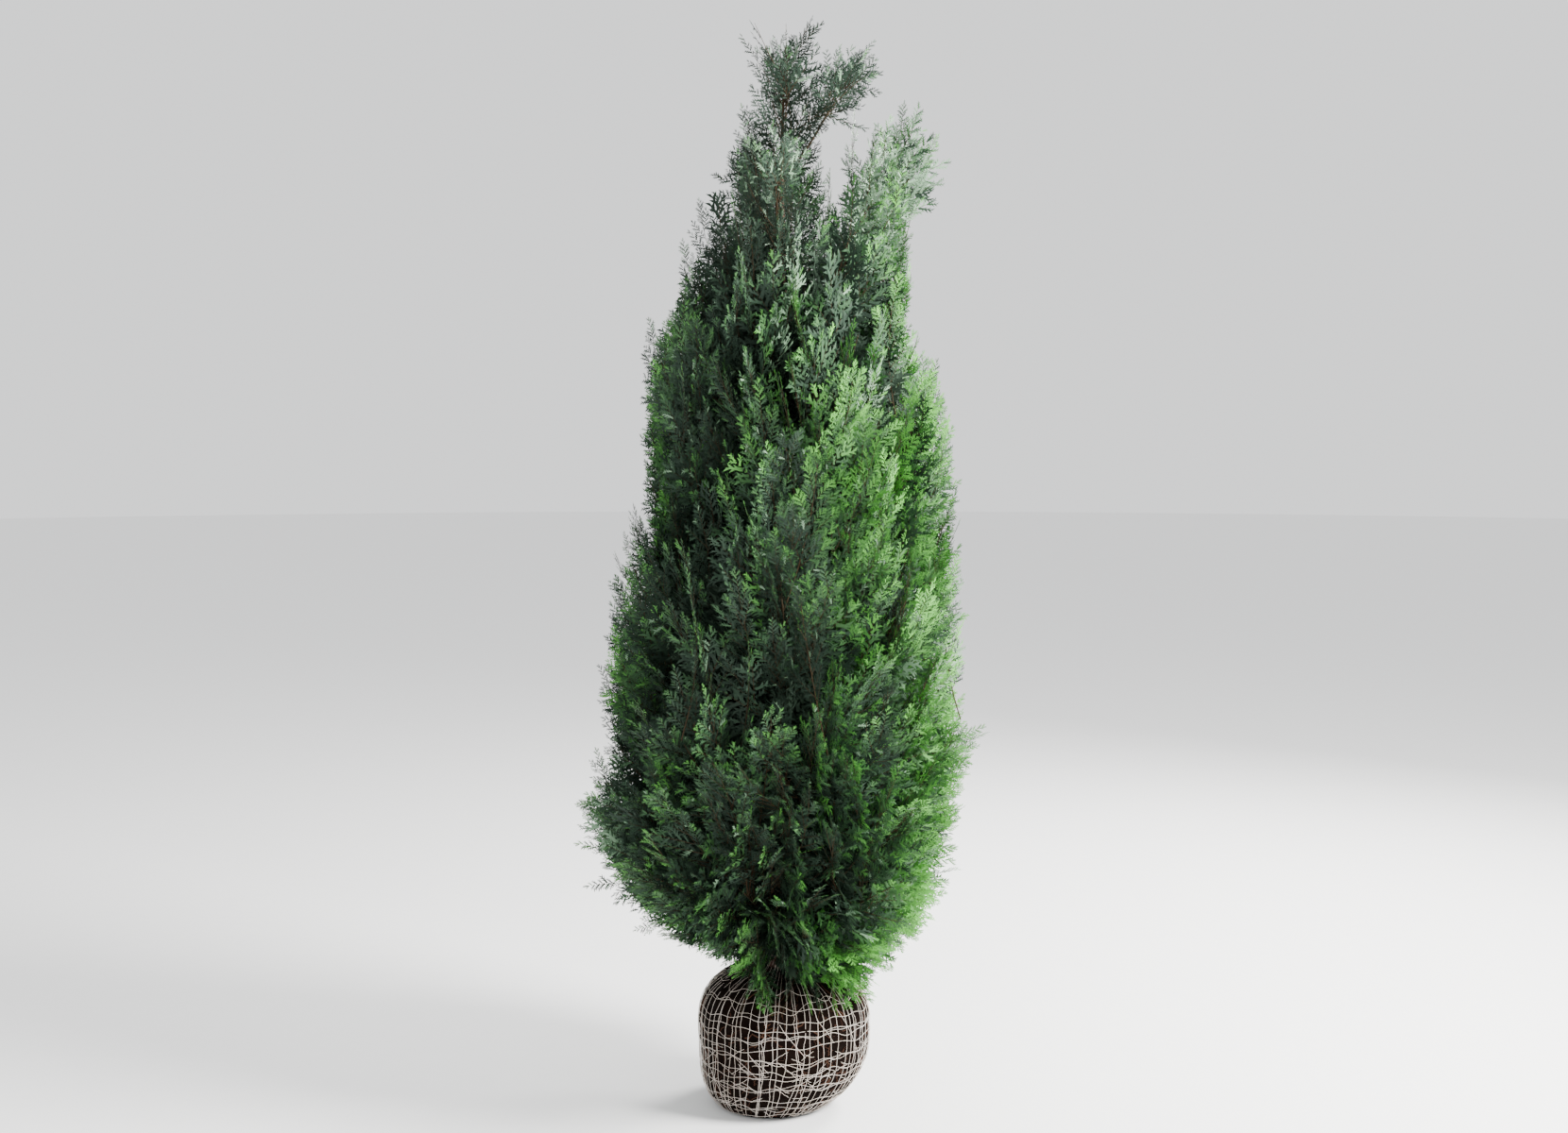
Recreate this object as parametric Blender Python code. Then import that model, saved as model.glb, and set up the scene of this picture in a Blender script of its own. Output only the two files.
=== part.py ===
"""A false cypress about two metres tall, lifted from the nursery row and standing on its netted root ball.

The trunk stands on the ball and runs up through the crown. Boughs and short stems leave it in tiers, and each carries
one flame-shaped mass of flat, ferny sprays. All sizes are in metres, +Z is up, and the origin is on the ball's flat
underside, straight below the middle of its waist. The crown's fuller top leans towards +X, and its front faces -Y.
"""

import math
import random
from collections import namedtuple

import bmesh
import bpy
from mathutils import Vector

# Whole plant
SEED = 7
JOINT_GAP = 0.0003
GOLDEN_SHARE = 0.618034
UP = Vector((0.0, 0.0, 1.0))

# Root ball: two half barrels of a superellipse that meet at the waist, cut flat below and above
BALL_HEIGHT = 0.28
BALL_WAIST_HEIGHT = 0.165
BALL_WAIST_RADIUS = 0.171
BALL_LOWER_REACH = 0.190
BALL_UPPER_REACH = 0.119
BALL_SQUARENESS = 2.6
BALL_SIDES = 18
BALL_RING_HEIGHTS = (0.0, 0.030, 0.085, 0.150, 0.205, 0.250, 0.280)
BALL_FOOT_SHIFT = -0.026
BALL_FOOT_SHIFT_HEIGHT = 0.13
BALL_LUMP = 0.012

# Wire net round the ball
NET_WIRE = 0.0024
NET_STAND_OFF = 0.0006
NET_FIRST_HEIGHT = 0.003
NET_NECK_SHARE = 0.62

# Trunk
TRUNK_TOP = 1.935
TRUNK_FOOT_RADIUS = 0.021
TRUNK_TIP_RADIUS = 0.0035
TRUNK_FLARE = 0.014
TRUNK_FLARE_HEIGHT = 0.028
TRUNK_SIDES = 8
TRUNK_RINGS = 13
TRUNK_SWAY = 0.010
TRUNK_LEAN = 0.006

# Crown outline: radius against height, from the lowest sprays to the leader's tip
CROWN_BOTTOM = 0.27
CROWN_TOP = 2.174
CROWN_RADIUS = 0.388
CROWN_WIDEST = 0.226
CROWN_RISE = 0.25
CROWN_TAPER = 0.735
CROWN_SHIFTS = ((0.55, -0.026), (0.85, 0.004), (1.15, 0.008), (1.40, 0.028), (1.62, 0.016), (1.85, 0.068))

# Boughs and stems
BOUGH_SIDES = 5
BOUGH_STEPS = 4
BOUGH_ROOT_RADIUS = 0.0085
BOUGH_TIP_RADIUS = 0.0052
STEM_SIDES = 3
STEM_ROOT_RADIUS = 0.0062
STEM_TIP_RADIUS = 0.0016

# Foliage masses
MASS_GAP = 0.0006
LIMB_CLEARANCE = 0.0012
FINS = 5
FIN_STATIONS = ((0.03, 0.72), (0.23, 1.0), (0.25, 0.64), (0.45, 1.0), (0.47, 0.62), (0.67, 0.86), (0.69, 0.46))
FIN_SWIRL = math.radians(40)
FIN_OFFSET = 0.10
VALLEY_SHARE = 0.54
CORE_INSET = 0.004
SPRAY_OUTLINE = ((0.36, 0.92), (0.46, 0.46), (0.70, 0.96))
SPRAY_THICKNESS = 0.045
SPRAY_WIDTH_SHARE = 0.30
SPRAY_SPREAD = math.radians(260)
SPRAY_SHRINKS = (1.0, 0.85, 0.7, 0.55, 0.4)
SPRAY_NARROWINGS = (1.0, 0.7)
LONGEST_REACH = 0.22

Tier = namedtuple(
    "Tier", "name count turn_deg attach base_radius base_height tip_height tip_share width spray_length sprays bough"
)
TIERS = (
    Tier("skirt", 6, 20, 0.345, 0.060, 0.385, 0.525, 1.02, 0.13, 0.18, 4, False),
    Tier("low", 6, -8, 0.430, 0.100, 0.530, 0.850, 1.00, 0.13, 0.21, 3, True),
    Tier("middle", 6, 24, 0.650, 0.095, 0.740, 1.140, 1.00, 0.13, 0.21, 3, True),
    Tier("upper", 5, -14, 0.890, 0.085, 0.975, 1.420, 1.01, 0.13, 0.21, 3, True),
    Tier("high", 5, 26, 1.140, 0.060, 1.220, 1.680, 1.00, 0.11, 0.20, 3, False),
    Tier("crest", 3, 60, 1.370, 0.040, 1.440, 1.820, 1.00, 0.09, 0.17, 4, False),
)

Spire = namedtuple("Spire", "name turn_deg attach tip_radius tip_height width spray_length sprays cored")
SPIRES = (
    Spire("right_spire", 2, 1.470, 0.250, 1.945, 0.11, 0.16, 4, True),
    Spire("front_spire", -100, 1.600, 0.105, 1.900, 0.08, 0.13, 4, True),
    Spire("left_spire", 178, 1.640, 0.078, 1.955, 0.07, 0.12, 4, True),
    Spire("back_spire", 84, 1.630, 0.115, 1.930, 0.08, 0.13, 4, True),
    Spire("leader_side", 2, 1.850, 0.135, 2.070, 0.06, 0.11, 8, False),
)
LEADER_WIDTH = 0.07
LEADER_SPRAY_LENGTH = 0.11
LEADER_SPRAYS = 10

Mass = namedtuple("Mass", "name base tip out start_normal width spray_length sprays cored own_limb")


def turned(turn_deg):
    """A level direction, counted from +X towards +Y."""
    angle = math.radians(turn_deg)
    return Vector((math.cos(angle), math.sin(angle), 0.0))


def square_to(direction):
    """Two directions square to this one and to each other."""
    side = direction.cross(UP)
    if side.length < 1e-3:
        side = Vector((1.0, 0.0, 0.0))
    side.normalize()
    return side, side.cross(direction).normalized()


# Sizes that follow from the driving ones


def ball_radius(height):
    """The ball's mean radius at a height: a superellipse with a longer half below its waist."""
    reach = BALL_LOWER_REACH if height < BALL_WAIST_HEIGHT else BALL_UPPER_REACH
    share = min(abs(height - BALL_WAIST_HEIGHT) / reach, 1.0)
    return BALL_WAIST_RADIUS * (1.0 - share**BALL_SQUARENESS) ** (1.0 / BALL_SQUARENESS)


def ball_point(angle, height):
    """A point on the ball, which is lumpy and undercut to the right at the foot."""
    lump = 1.0 + BALL_LUMP * (math.cos(2 * angle + 0.6) + 0.7 * math.cos(3 * angle + 9 * height))
    undercut = BALL_FOOT_SHIFT * max(0.0, 1.0 - height / BALL_FOOT_SHIFT_HEIGHT) ** 1.5
    radius = ball_radius(height) * lump
    return Vector((undercut + radius * math.cos(angle), radius * math.sin(angle), height))


def trunk_centre(height):
    """The trunk's middle line, which sways a little and leans to the right."""
    share = (height - BALL_HEIGHT) / (TRUNK_TOP - BALL_HEIGHT)
    sway = TRUNK_SWAY * math.sin(1.5 * math.pi * share)
    return Vector((sway + TRUNK_LEAN * share, 0.6 * TRUNK_SWAY * math.sin(2.2 * math.pi * share), height))


def trunk_radius(height):
    """The trunk's radius: an even taper, with a flare at the foot."""
    share = (height - BALL_HEIGHT) / (TRUNK_TOP - BALL_HEIGHT)
    flare = TRUNK_FLARE * math.exp(-(height - BALL_HEIGHT) / TRUNK_FLARE_HEIGHT)
    return TRUNK_FOOT_RADIUS + (TRUNK_TIP_RADIUS - TRUNK_FOOT_RADIUS) * share + flare


def trunk_heights():
    """The heights of the trunk's rings, closest at the flare."""
    foot = BALL_HEIGHT + JOINT_GAP
    return [foot + (TRUNK_TOP - foot) * (i / (TRUNK_RINGS - 1)) ** 1.6 for i in range(TRUNK_RINGS)]


def trunk_reach(out, low, high):
    """How far the faceted trunk stands out in a level direction between two heights, from the world's own axis."""
    facet = math.tau / TRUNK_SIDES
    turn = math.atan2(out.y, out.x)
    from_corner = abs((turn + facet / 2) % facet - facet / 2)
    reach = 0.0
    heights = trunk_heights()
    for below, above in zip(heights, heights[1:]):
        if below > high or above < low:
            continue
        for height in (max(below, low), min(above, high)):
            share = (height - below) / (above - below)
            centre = trunk_centre(below).lerp(trunk_centre(above), share)
            radius = trunk_radius(below) + (trunk_radius(above) - trunk_radius(below)) * share
            reach = max(reach, centre.dot(out) + radius * math.cos(from_corner))
    return reach


def crown_radius(height):
    """The crown's mean radius at a height, fullest at CROWN_WIDEST of the way up."""
    share = min(max((height - CROWN_BOTTOM) / (CROWN_TOP - CROWN_BOTTOM), 0.01), 0.99)
    rise = (share / CROWN_WIDEST) ** CROWN_RISE
    taper = ((1.0 - share) / (1.0 - CROWN_WIDEST)) ** CROWN_TAPER
    return CROWN_RADIUS * rise * taper


def crown_shift(height):
    """How far the crown's middle lies towards +X at a height."""
    shift = CROWN_SHIFTS[0][1]
    for (low, before), (high, after) in zip(CROWN_SHIFTS, CROWN_SHIFTS[1:]):
        share = min(max((height - low) / (high - low), 0.0), 1.0)
        shift += (after - before) * share
    return Vector((shift, 0.0, 0.0))


def within_crown(point, inset=0.0):
    """Whether a point lies inside the crown's outline, or that far inside it."""
    middle = crown_shift(point.z)
    return math.hypot(point.x - middle.x, point.y) <= crown_radius(point.z) - inset


# Meshes


def add_mesh(name, points, faces, material=None):
    """A named object from points and faces, with its faces turned outwards."""
    mesh = bpy.data.meshes.new(name)
    mesh.from_pydata([tuple(p) for p in points], [], faces)
    shell = bmesh.new()
    shell.from_mesh(mesh)
    bmesh.ops.recalc_face_normals(shell, faces=shell.faces)
    shell.to_mesh(mesh)
    shell.free()
    obj = bpy.data.objects.new(name, mesh)
    bpy.context.scene.collection.objects.link(obj)
    if material:
        mesh.materials.append(material)
    return obj


def loft(rings):
    """Points and faces of a closed body through rings of equal count, with a flat cap at each end."""
    count = len(rings[0])
    points = [p for ring in rings for p in ring]
    faces = [tuple(range(count))]
    for level in range(len(rings) - 1):
        low, high = level * count, (level + 1) * count
        for i in range(count):
            j = (i + 1) % count
            faces.append((low + i, low + j, high + j, high + i))
    faces.append(tuple(range(len(points) - count, len(points))))
    return points, faces


def ring_round(centre, direction, radius, sides, plane_normal=None):
    """A ring of points round a limb's middle line, slid along the limb into the plane if one is given."""
    side, other = square_to(direction)
    ring = []
    for i in range(sides):
        angle = math.tau * i / sides
        offset = radius * (math.cos(angle) * side + math.sin(angle) * other)
        if plane_normal is not None:
            offset -= direction * (offset.dot(plane_normal) / direction.dot(plane_normal))
        ring.append(centre + offset)
    return ring


def plain_material(name, colour, roughness):
    """A Principled material of one colour."""
    material = bpy.data.materials.new(name)
    material.use_nodes = True
    shader = material.node_tree.nodes["Principled BSDF"]
    shader.inputs["Base Color"].default_value = (*colour, 1.0)
    shader.inputs["Roughness"].default_value = roughness
    shader.inputs["Metallic"].default_value = 0.0
    return material


# Root ball, net and trunk


def ball_ring(height):
    """The ball's corners at one height."""
    return [ball_point(math.tau * i / BALL_SIDES, height) for i in range(BALL_SIDES)]


def build_ball(material):
    """The firm ball of soil and roots, flat where it stands and where the trunk leaves it."""
    points, faces = loft([ball_ring(height) for height in BALL_RING_HEIGHTS])
    return add_mesh("root_ball", points, faces, material)


def stand_off(rings, level):
    """The ring at this level moved out along the ball's own normals, far enough for a wire to clear the ball."""
    moved = []
    for i in range(BALL_SIDES):
        point = rings[level][i]
        along = rings[level][(i + 1) % BALL_SIDES] - rings[level][i - 1]
        legs = []
        if level > 0:
            legs.append(point - rings[level - 1][i])
        if level < len(rings) - 1:
            legs.append(rings[level + 1][i] - point)
        normals = [along.cross(leg).normalized() for leg in legs]
        normal = sum(normals, Vector()).normalized()
        moved.append(point + normal * (NET_STAND_OFF + NET_WIRE / 2) / normal.dot(normals[0]))
    return moved


def build_net(material):
    """The wire net: a cage of long meshes over the ball's own corners, thickened into square wires."""
    rings = [ball_ring(height) for height in (NET_FIRST_HEIGHT, *BALL_RING_HEIGHTS[1:])]
    rings.append([trunk_centre(BALL_HEIGHT) + (p - trunk_centre(BALL_HEIGHT)) * NET_NECK_SHARE for p in rings[-1]])
    rings = [stand_off(rings, level) for level in range(len(rings))]
    points = [p for ring in rings for p in ring]
    faces = []
    for level in range(len(rings) - 1):
        low, high = level * BALL_SIDES, (level + 1) * BALL_SIDES
        for i in range(level % 2, BALL_SIDES, 2):
            j, k = (i + 1) % BALL_SIDES, (i + 2) % BALL_SIDES
            faces.append((low + i, low + j, low + k, high + k, high + j, high + i))
    net = add_mesh("wire_net", points, faces, material)
    wires = net.modifiers.new("wires", "WIREFRAME")
    wires.thickness = NET_WIRE
    wires.use_replace = True
    wires.use_boundary = True
    wires.use_even_offset = False
    return net


def build_trunk(material):
    """The trunk, from its flat foot on the ball to the leader."""
    rings = [ring_round(trunk_centre(height), UP, trunk_radius(height), TRUNK_SIDES) for height in trunk_heights()]
    return add_mesh("trunk", *loft(rings), material)


# Where boughs and masses go


def limb_start(turn_deg, attach, half_height):
    """Where a limb whose root is this tall leaves the trunk, clear of its bark by the joint's gap."""
    out = turned(turn_deg)
    middle = trunk_centre(attach)
    reach = trunk_reach(out, attach - half_height, attach + half_height)
    return middle + out * (reach - middle.dot(out) + JOINT_GAP)


def stem_start(turn_deg, attach, tip):
    """Where a mass's own three-sided stem leaves the trunk on its way to the tip."""
    run = math.hypot(tip.x, tip.y)
    slope = math.hypot(run, tip.z - attach) / run
    return limb_start(turn_deg, attach, 0.87 * STEM_ROOT_RADIUS * slope)


def bough_path(start, end, end_direction):
    """A limb's middle line: it leaves the trunk level and bends up into its end direction."""
    reach = (end - start).length
    knee = end - end_direction * reach * 0.55
    path = []
    for i in range(BOUGH_STEPS + 1):
        t = i / BOUGH_STEPS
        path.append(start * (1 - t) ** 2 + knee * 2 * t * (1 - t) + end * t * t)
    return path


def mass_of(kind, name, base, tip, out, start_normal, cored, own_limb):
    """A mass with the width and sprays of its tier or spire."""
    return Mass(
        f"foliage_{name}", base, tip, out, start_normal, kind.width, kind.spray_length, kind.sprays, cored, own_limb
    )


def tier_masses(tier, draw):
    """Each mass of a tier with the path of its bough, or None where its stem leaves the trunk."""
    for i in range(tier.count):
        turn = tier.turn_deg + 360.0 * i / tier.count + draw.uniform(-9, 9)
        lift = draw.uniform(-0.03, 0.03)
        tip_height = tier.tip_height + lift
        out = turned(turn)
        tip = crown_shift(tip_height) + out * crown_radius(tip_height) * tier.tip_share * draw.uniform(0.95, 1.04)
        tip.z = tip_height
        base = trunk_centre(tier.base_height) + out * tier.base_radius
        base.z += lift * 0.6
        direction = (tip - base).normalized()
        name = f"{tier.name}_{i + 1}"
        if tier.bough:
            start = limb_start(turn, tier.attach + lift * 0.6, 1.3 * BOUGH_ROOT_RADIUS)
            path = bough_path(start, base, direction)
            yield mass_of(tier, name, base + direction * JOINT_GAP, tip, out, direction, True, name), path
        else:
            start = stem_start(turn, tier.attach + lift * 0.6, tip)
            yield mass_of(tier, name, start, tip, out, out, True, None), None


def spire_mass(spire):
    """A slender mass near the top, on its own stem from the trunk."""
    out = turned(spire.turn_deg)
    tip = out * spire.tip_radius + UP * spire.tip_height
    start = stem_start(spire.turn_deg, spire.attach, tip)
    return mass_of(spire, spire.name, start, tip, out, out, spire.cored, None)


def leader_mass():
    """The open tuft at the trunk's tip."""
    base = trunk_centre(TRUNK_TOP) + UP * JOINT_GAP
    tip = Vector((-0.004, 0.0, CROWN_TOP - 0.004))
    return Mass(
        "foliage_leader", base, tip, None, UP, LEADER_WIDTH, LEADER_SPRAY_LENGTH, LEADER_SPRAYS, False, None
    )


# Each mass's own space, as planes that keep it clear of all the rest


def nearest_points(a, b, c, d):
    """The nearest points of the straight pieces a-b and c-d."""
    ab, cd, ac = b - a, d - c, a - c
    aa, ee, f = ab.dot(ab), cd.dot(cd), cd.dot(ac)
    ca, cross = ab.dot(ac), ab.dot(cd)
    spread = aa * ee - cross * cross
    s = min(max((cross * f - ca * ee) / spread, 0.0), 1.0) if spread > 1e-12 else 0.0
    t = (cross * s + f) / ee
    if t < 0.0 or t > 1.0:
        t = min(max(t, 0.0), 1.0)
        s = min(max((cross * t - ca) / aa, 0.0), 1.0)
    return a + ab * s, c + cd * t


def ball_plane(mass, ball_points):
    """The plane that rests on the root ball on the side of this mass."""
    middle = Vector((0.0, 0.0, BALL_WAIST_HEIGHT))
    normal = ((mass.base * 2 + mass.tip) / 3 - middle).normalized()
    support = max((p - middle).dot(normal) for p in ball_points)
    return middle + normal * (support + 2 * NET_WIRE + LIMB_CLEARANCE), normal


def space_of(mass, masses, limbs, ball_points):
    """The planes round a mass: a point lies in its space where it is on the inner side of each."""
    ceiling = (Vector((0.0, 0.0, CROWN_TOP)), -UP)
    planes = [(mass.base, mass.start_normal), ball_plane(mass, ball_points), ceiling]
    for other in masses:
        if other is mass:
            continue
        mine, theirs = nearest_points(mass.base, mass.tip, other.base, other.tip)
        gap = mine - theirs
        share = other.width / (mass.width + other.width)
        planes.append((theirs + gap * share + gap.normalized() * MASS_GAP, gap.normalized()))
    for name, pieces in limbs.items():
        if name == mass.own_limb:
            continue
        for low, high, radius in pieces:
            mine, theirs = nearest_points(mass.base, mass.tip, low, high)
            normal = (mine - theirs).normalized()
            planes.append((theirs + normal * (radius + LIMB_CLEARANCE), normal))
    return planes


def inside(point, planes, kept_in):
    """Whether a point lies in the space, and in the crown's outline where the mass is kept in it."""
    if kept_in and not within_crown(point):
        return False
    return all((point - on).dot(normal) >= 0.0 for on, normal in planes)


def room_towards(point, direction, planes, kept_in, inset=0.0):
    """How far a point in the space can move in a direction before it leaves."""
    room = LONGEST_REACH
    for on, normal in planes:
        closing = direction.dot(normal)
        if closing < -1e-6:
            room = min(room, (on - point).dot(normal) / closing)
    while kept_in and room > 0.01 and not within_crown(point + direction * room, inset):
        room *= 0.94
    return max(room, 0.0)


# Foliage


def spray_outline(length, width):
    """A flat spray's outline in its own plane, along and across: root, toothed side, tip, toothed side."""
    side = [(along * length, across * width) for along, across in SPRAY_OUTLINE]
    mirrored = [(along, -across) for along, across in reversed(side)]
    return [(0.0, 0.0), *side, (length, 0.0), *mirrored]


def spray_points(root, direction, across, length, width, droop):
    """A spray's corners: its outline bent towards the droop, and a ridge on either face."""
    normal = direction.cross(across).normalized()

    def place(along, side):
        return root + direction * along + across * side + droop * (along / length) ** 2

    outline = [place(along, side) for along, side in spray_outline(length, width)]
    middle = place(length * 0.42, 0.0)
    rise = normal * length * SPRAY_THICKNESS / 2
    return [*outline, middle + rise, middle - rise]


def spray_faces(corner_count):
    """The faces that join each edge of the outline to both ridges."""
    rim = corner_count - 2
    faces = []
    for i in range(rim):
        j = (i + 1) % rim
        faces.append((i, j, rim))
        faces.append((j, i, rim + 1))
    return faces


def fitted_spray(root, direction, across, length, droop, planes, kept_in):
    """The largest spray that fits the space from this root, or None where even a small one would leave it."""
    for shrink in SPRAY_SHRINKS:
        for narrowing in SPRAY_NARROWINGS:
            reach = length * shrink
            width = reach * SPRAY_WIDTH_SHARE * narrowing
            points = spray_points(root, direction, across, reach, width, droop * reach)
            if all(inside(p, planes, kept_in) for p in points):
                return points
    return None


def sprays_of(mass, planes, draw):
    """The corners of each spray of a mass. They climb its stem, swing round its outer side and shorten to the tip."""
    axis = mass.tip - mass.base
    forward = axis.normalized()
    if mass.out is None:
        side, face = square_to(forward)
        spread = math.tau
    else:
        side = forward.cross(mass.out).normalized()
        face = side.cross(forward)
        spread = SPRAY_SPREAD
    phase = draw.random()
    sprays = []
    for i in range(mass.sprays):
        share = (i + 0.5) / mass.sprays
        turn = ((i * GOLDEN_SHARE + phase) % 1.0 - 0.5) * spread
        outward = face * math.cos(turn) + side * math.sin(turn)
        opening = math.radians(64 - 46 * share + draw.uniform(-6, 6))
        direction = (forward * math.cos(opening) + outward * math.sin(opening)).normalized()
        root = mass.base + axis * (0.05 + 0.83 * share)
        across = direction.cross(outward).normalized()
        across = (across + direction.cross(across) * draw.uniform(-0.8, 0.8)).normalized()
        wanted = mass.spray_length * (1.05 - 0.25 * share) * draw.uniform(0.9, 1.1)
        reach = min(wanted, room_towards(root, direction, planes, mass.cored))
        points = fitted_spray(root, direction, across, reach, UP * 0.10, planes, mass.cored)
        if points:
            sprays.append(points)
    tip_reach = min(0.4 * axis.length, 0.11)
    root = mass.tip - forward * tip_reach * 0.9
    points = fitted_spray(root, forward, side, tip_reach, Vector(), planes, False)
    if points:
        sprays.append(points)
    return sprays


def core_rings(mass, planes, draw):
    """The rings of a dense mass's core: upright fins with upward teeth, and valleys between them."""
    axis = mass.tip - mass.base
    side, other = square_to(axis.normalized())
    start = draw.uniform(0.0, math.tau)
    offsets = [FIN_OFFSET * (0.9 * (fin % 2) + draw.uniform(0.0, 0.1)) for fin in range(FINS)]
    rings = []
    for along, share in FIN_STATIONS:
        ring = []
        for column in range(2 * FINS):
            fin = column // 2
            lift = offsets[fin] if column % 2 == 0 else (offsets[fin] + offsets[(fin + 1) % FINS]) / 2
            centre = mass.base + axis * (along + lift)
            angle = start + math.tau * column / (2 * FINS) + FIN_SWIRL * along
            outward = side * math.cos(angle) + other * math.sin(angle)
            room = room_towards(centre, outward, planes, True, CORE_INSET)
            reach = share if column % 2 == 0 else share * VALLEY_SHARE
            ring.append(centre + outward * max(room * reach, 0.003))
        rings.append(ring)
    return rings


def core_mesh(mass, planes, draw):
    """A closed, toothed spindle through the core's rings, pointed at both ends."""
    rings = core_rings(mass, planes, draw)
    points = [p for ring in rings for p in ring]
    count, columns = len(points), 2 * FINS
    axis = mass.tip - mass.base
    points += [mass.base + axis * 0.03, mass.base + axis * 0.97]
    faces = []
    for level in range(len(rings) - 1):
        low, high = level * columns, (level + 1) * columns
        for i in range(columns):
            j = (i + 1) % columns
            faces += [(low + i, low + j, high + j), (low + i, high + j, high + i)]
    last = count - columns
    for i in range(columns):
        j = (i + 1) % columns
        faces += [(j, i, count), (last + i, last + j, count + 1)]
    return points, faces


def keep_main_shell(obj):
    """Drops loose scraps and the walls of sealed hollows, which leaves the one shell that reaches furthest."""
    shell = bmesh.new()
    shell.from_mesh(obj.data)
    left = set(shell.verts)
    groups = []
    while left:
        group, edge = set(), [left.pop()]
        while edge:
            vert = edge.pop()
            group.add(vert)
            near = {e.other_vert(vert) for e in vert.link_edges} & left
            left -= near
            edge.extend(near)
        groups.append(group)
    groups.sort(key=len)
    for group in groups[:-1]:
        bmesh.ops.delete(shell, geom=list(group), context="VERTS")
    shell.to_mesh(obj.data)
    shell.free()


def is_closed(mesh):
    """Whether every edge of the mesh joins exactly two faces."""
    shell = bmesh.new()
    shell.from_mesh(mesh)
    closed = len(shell.faces) > 0 and all(len(edge.link_faces) == 2 for edge in shell.edges)
    shell.free()
    return closed


def fuse(obj, pieces):
    """Joins the pieces to the object by one Boolean union, applies it and removes them."""
    group = bpy.data.collections.new(obj.name + "_pieces")
    for piece in pieces:
        bpy.context.scene.collection.objects.unlink(piece)
        group.objects.link(piece)
    union = obj.modifiers.new("union", "BOOLEAN")
    union.operation = "UNION"
    union.operand_type = "COLLECTION"
    union.collection = group
    for solver in ("EXACT", "MANIFOLD"):
        union.solver = solver
        bpy.context.view_layer.update()
        graph = bpy.context.evaluated_depsgraph_get()
        joined = bpy.data.meshes.new_from_object(obj.evaluated_get(graph))
        if is_closed(joined):
            break
    obj.modifiers.clear()
    obj.data = joined
    for piece in pieces:
        bpy.data.objects.remove(piece)
    bpy.data.collections.remove(group)
    keep_main_shell(obj)


def build_mass(mass, planes, draw, material):
    """One mass of foliage: its stem, the core of a dense one, and its flat sprays, fused into one body."""
    axis = mass.tip - mass.base
    forward = axis.normalized()
    stem_end = mass.base + axis * (0.2 if mass.cored else 0.9)
    first = ring_round(mass.base, forward, STEM_ROOT_RADIUS, STEM_SIDES, mass.start_normal)
    end_radius = STEM_ROOT_RADIUS * 0.8 if mass.cored else STEM_TIP_RADIUS
    last = ring_round(stem_end, forward, end_radius, STEM_SIDES)
    stem = add_mesh(mass.name, *loft([first, last]), material)
    pieces = []
    if mass.cored:
        pieces.append(add_mesh("core", *core_mesh(mass, planes, draw)))
    for points in sprays_of(mass, planes, draw):
        pieces.append(add_mesh("spray", points, spray_faces(len(points))))
    fuse(stem, pieces)
    return stem


def build_bough(name, path, out, material):
    """A tapering bough along its path, cut upright against the trunk and square at its tip."""
    rings = []
    for i, centre in enumerate(path):
        share = i / (len(path) - 1)
        ahead, behind = path[min(i + 1, len(path) - 1)], path[max(i - 1, 0)]
        radius = BOUGH_ROOT_RADIUS + (BOUGH_TIP_RADIUS - BOUGH_ROOT_RADIUS) * share
        rings.append(ring_round(centre, (ahead - behind).normalized(), radius, BOUGH_SIDES, out if i == 0 else None))
    return add_mesh(f"bough_{name}", *loft(rings), material)


def limb_pieces(path, first_radius, last_radius):
    """A limb as straight pieces with a radius each, for keeping foliage clear of it."""
    pieces = []
    for i in range(len(path) - 1):
        share = i / (len(path) - 1)
        pieces.append((path[i], path[i + 1], first_radius + (last_radius - first_radius) * share))
    return pieces


def trunk_pieces():
    """The trunk as straight pieces, each as thick as its lower end."""
    heights = trunk_heights()
    return [(trunk_centre(a), trunk_centre(b), trunk_radius(a)) for a, b in zip(heights, heights[1:])]


def main():
    for obj in list(bpy.data.objects):
        bpy.data.objects.remove(obj)
    soil = plain_material("soil", (0.045, 0.028, 0.018), 0.95)
    wire = plain_material("pale_wire", (0.62, 0.55, 0.46), 0.6)
    bark = plain_material("bark", (0.16, 0.085, 0.05), 0.85)
    foliage = plain_material("foliage", (0.035, 0.10, 0.035), 0.55)

    build_ball(soil)
    build_net(wire)
    build_trunk(bark)

    draw = random.Random(SEED)
    masses, limbs = [], {"trunk": trunk_pieces()}
    for tier in TIERS:
        for mass, path in tier_masses(tier, draw):
            masses.append(mass)
            if path:
                build_bough(mass.own_limb, path, mass.out, bark)
                limbs[mass.own_limb] = limb_pieces(path, BOUGH_ROOT_RADIUS, BOUGH_TIP_RADIUS)
    masses += [spire_mass(spire) for spire in SPIRES]
    masses.append(leader_mass())

    ball_points = [p for height in BALL_RING_HEIGHTS for p in ball_ring(height)]
    for mass in masses:
        build_mass(mass, space_of(mass, masses, limbs, ball_points), draw, foliage)


main()
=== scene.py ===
"""A false cypress on its netted root ball: fine sprays, bark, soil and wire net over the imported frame.

Every size is in metres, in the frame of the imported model: +Z up, +X to the right, the front towards -Y.
"""

import logging
import math
import random
from dataclasses import dataclass, fields
from enum import Enum
from typing import NamedTuple

import bpy
import numpy as np
from mathutils import Euler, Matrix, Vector, noise


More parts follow.
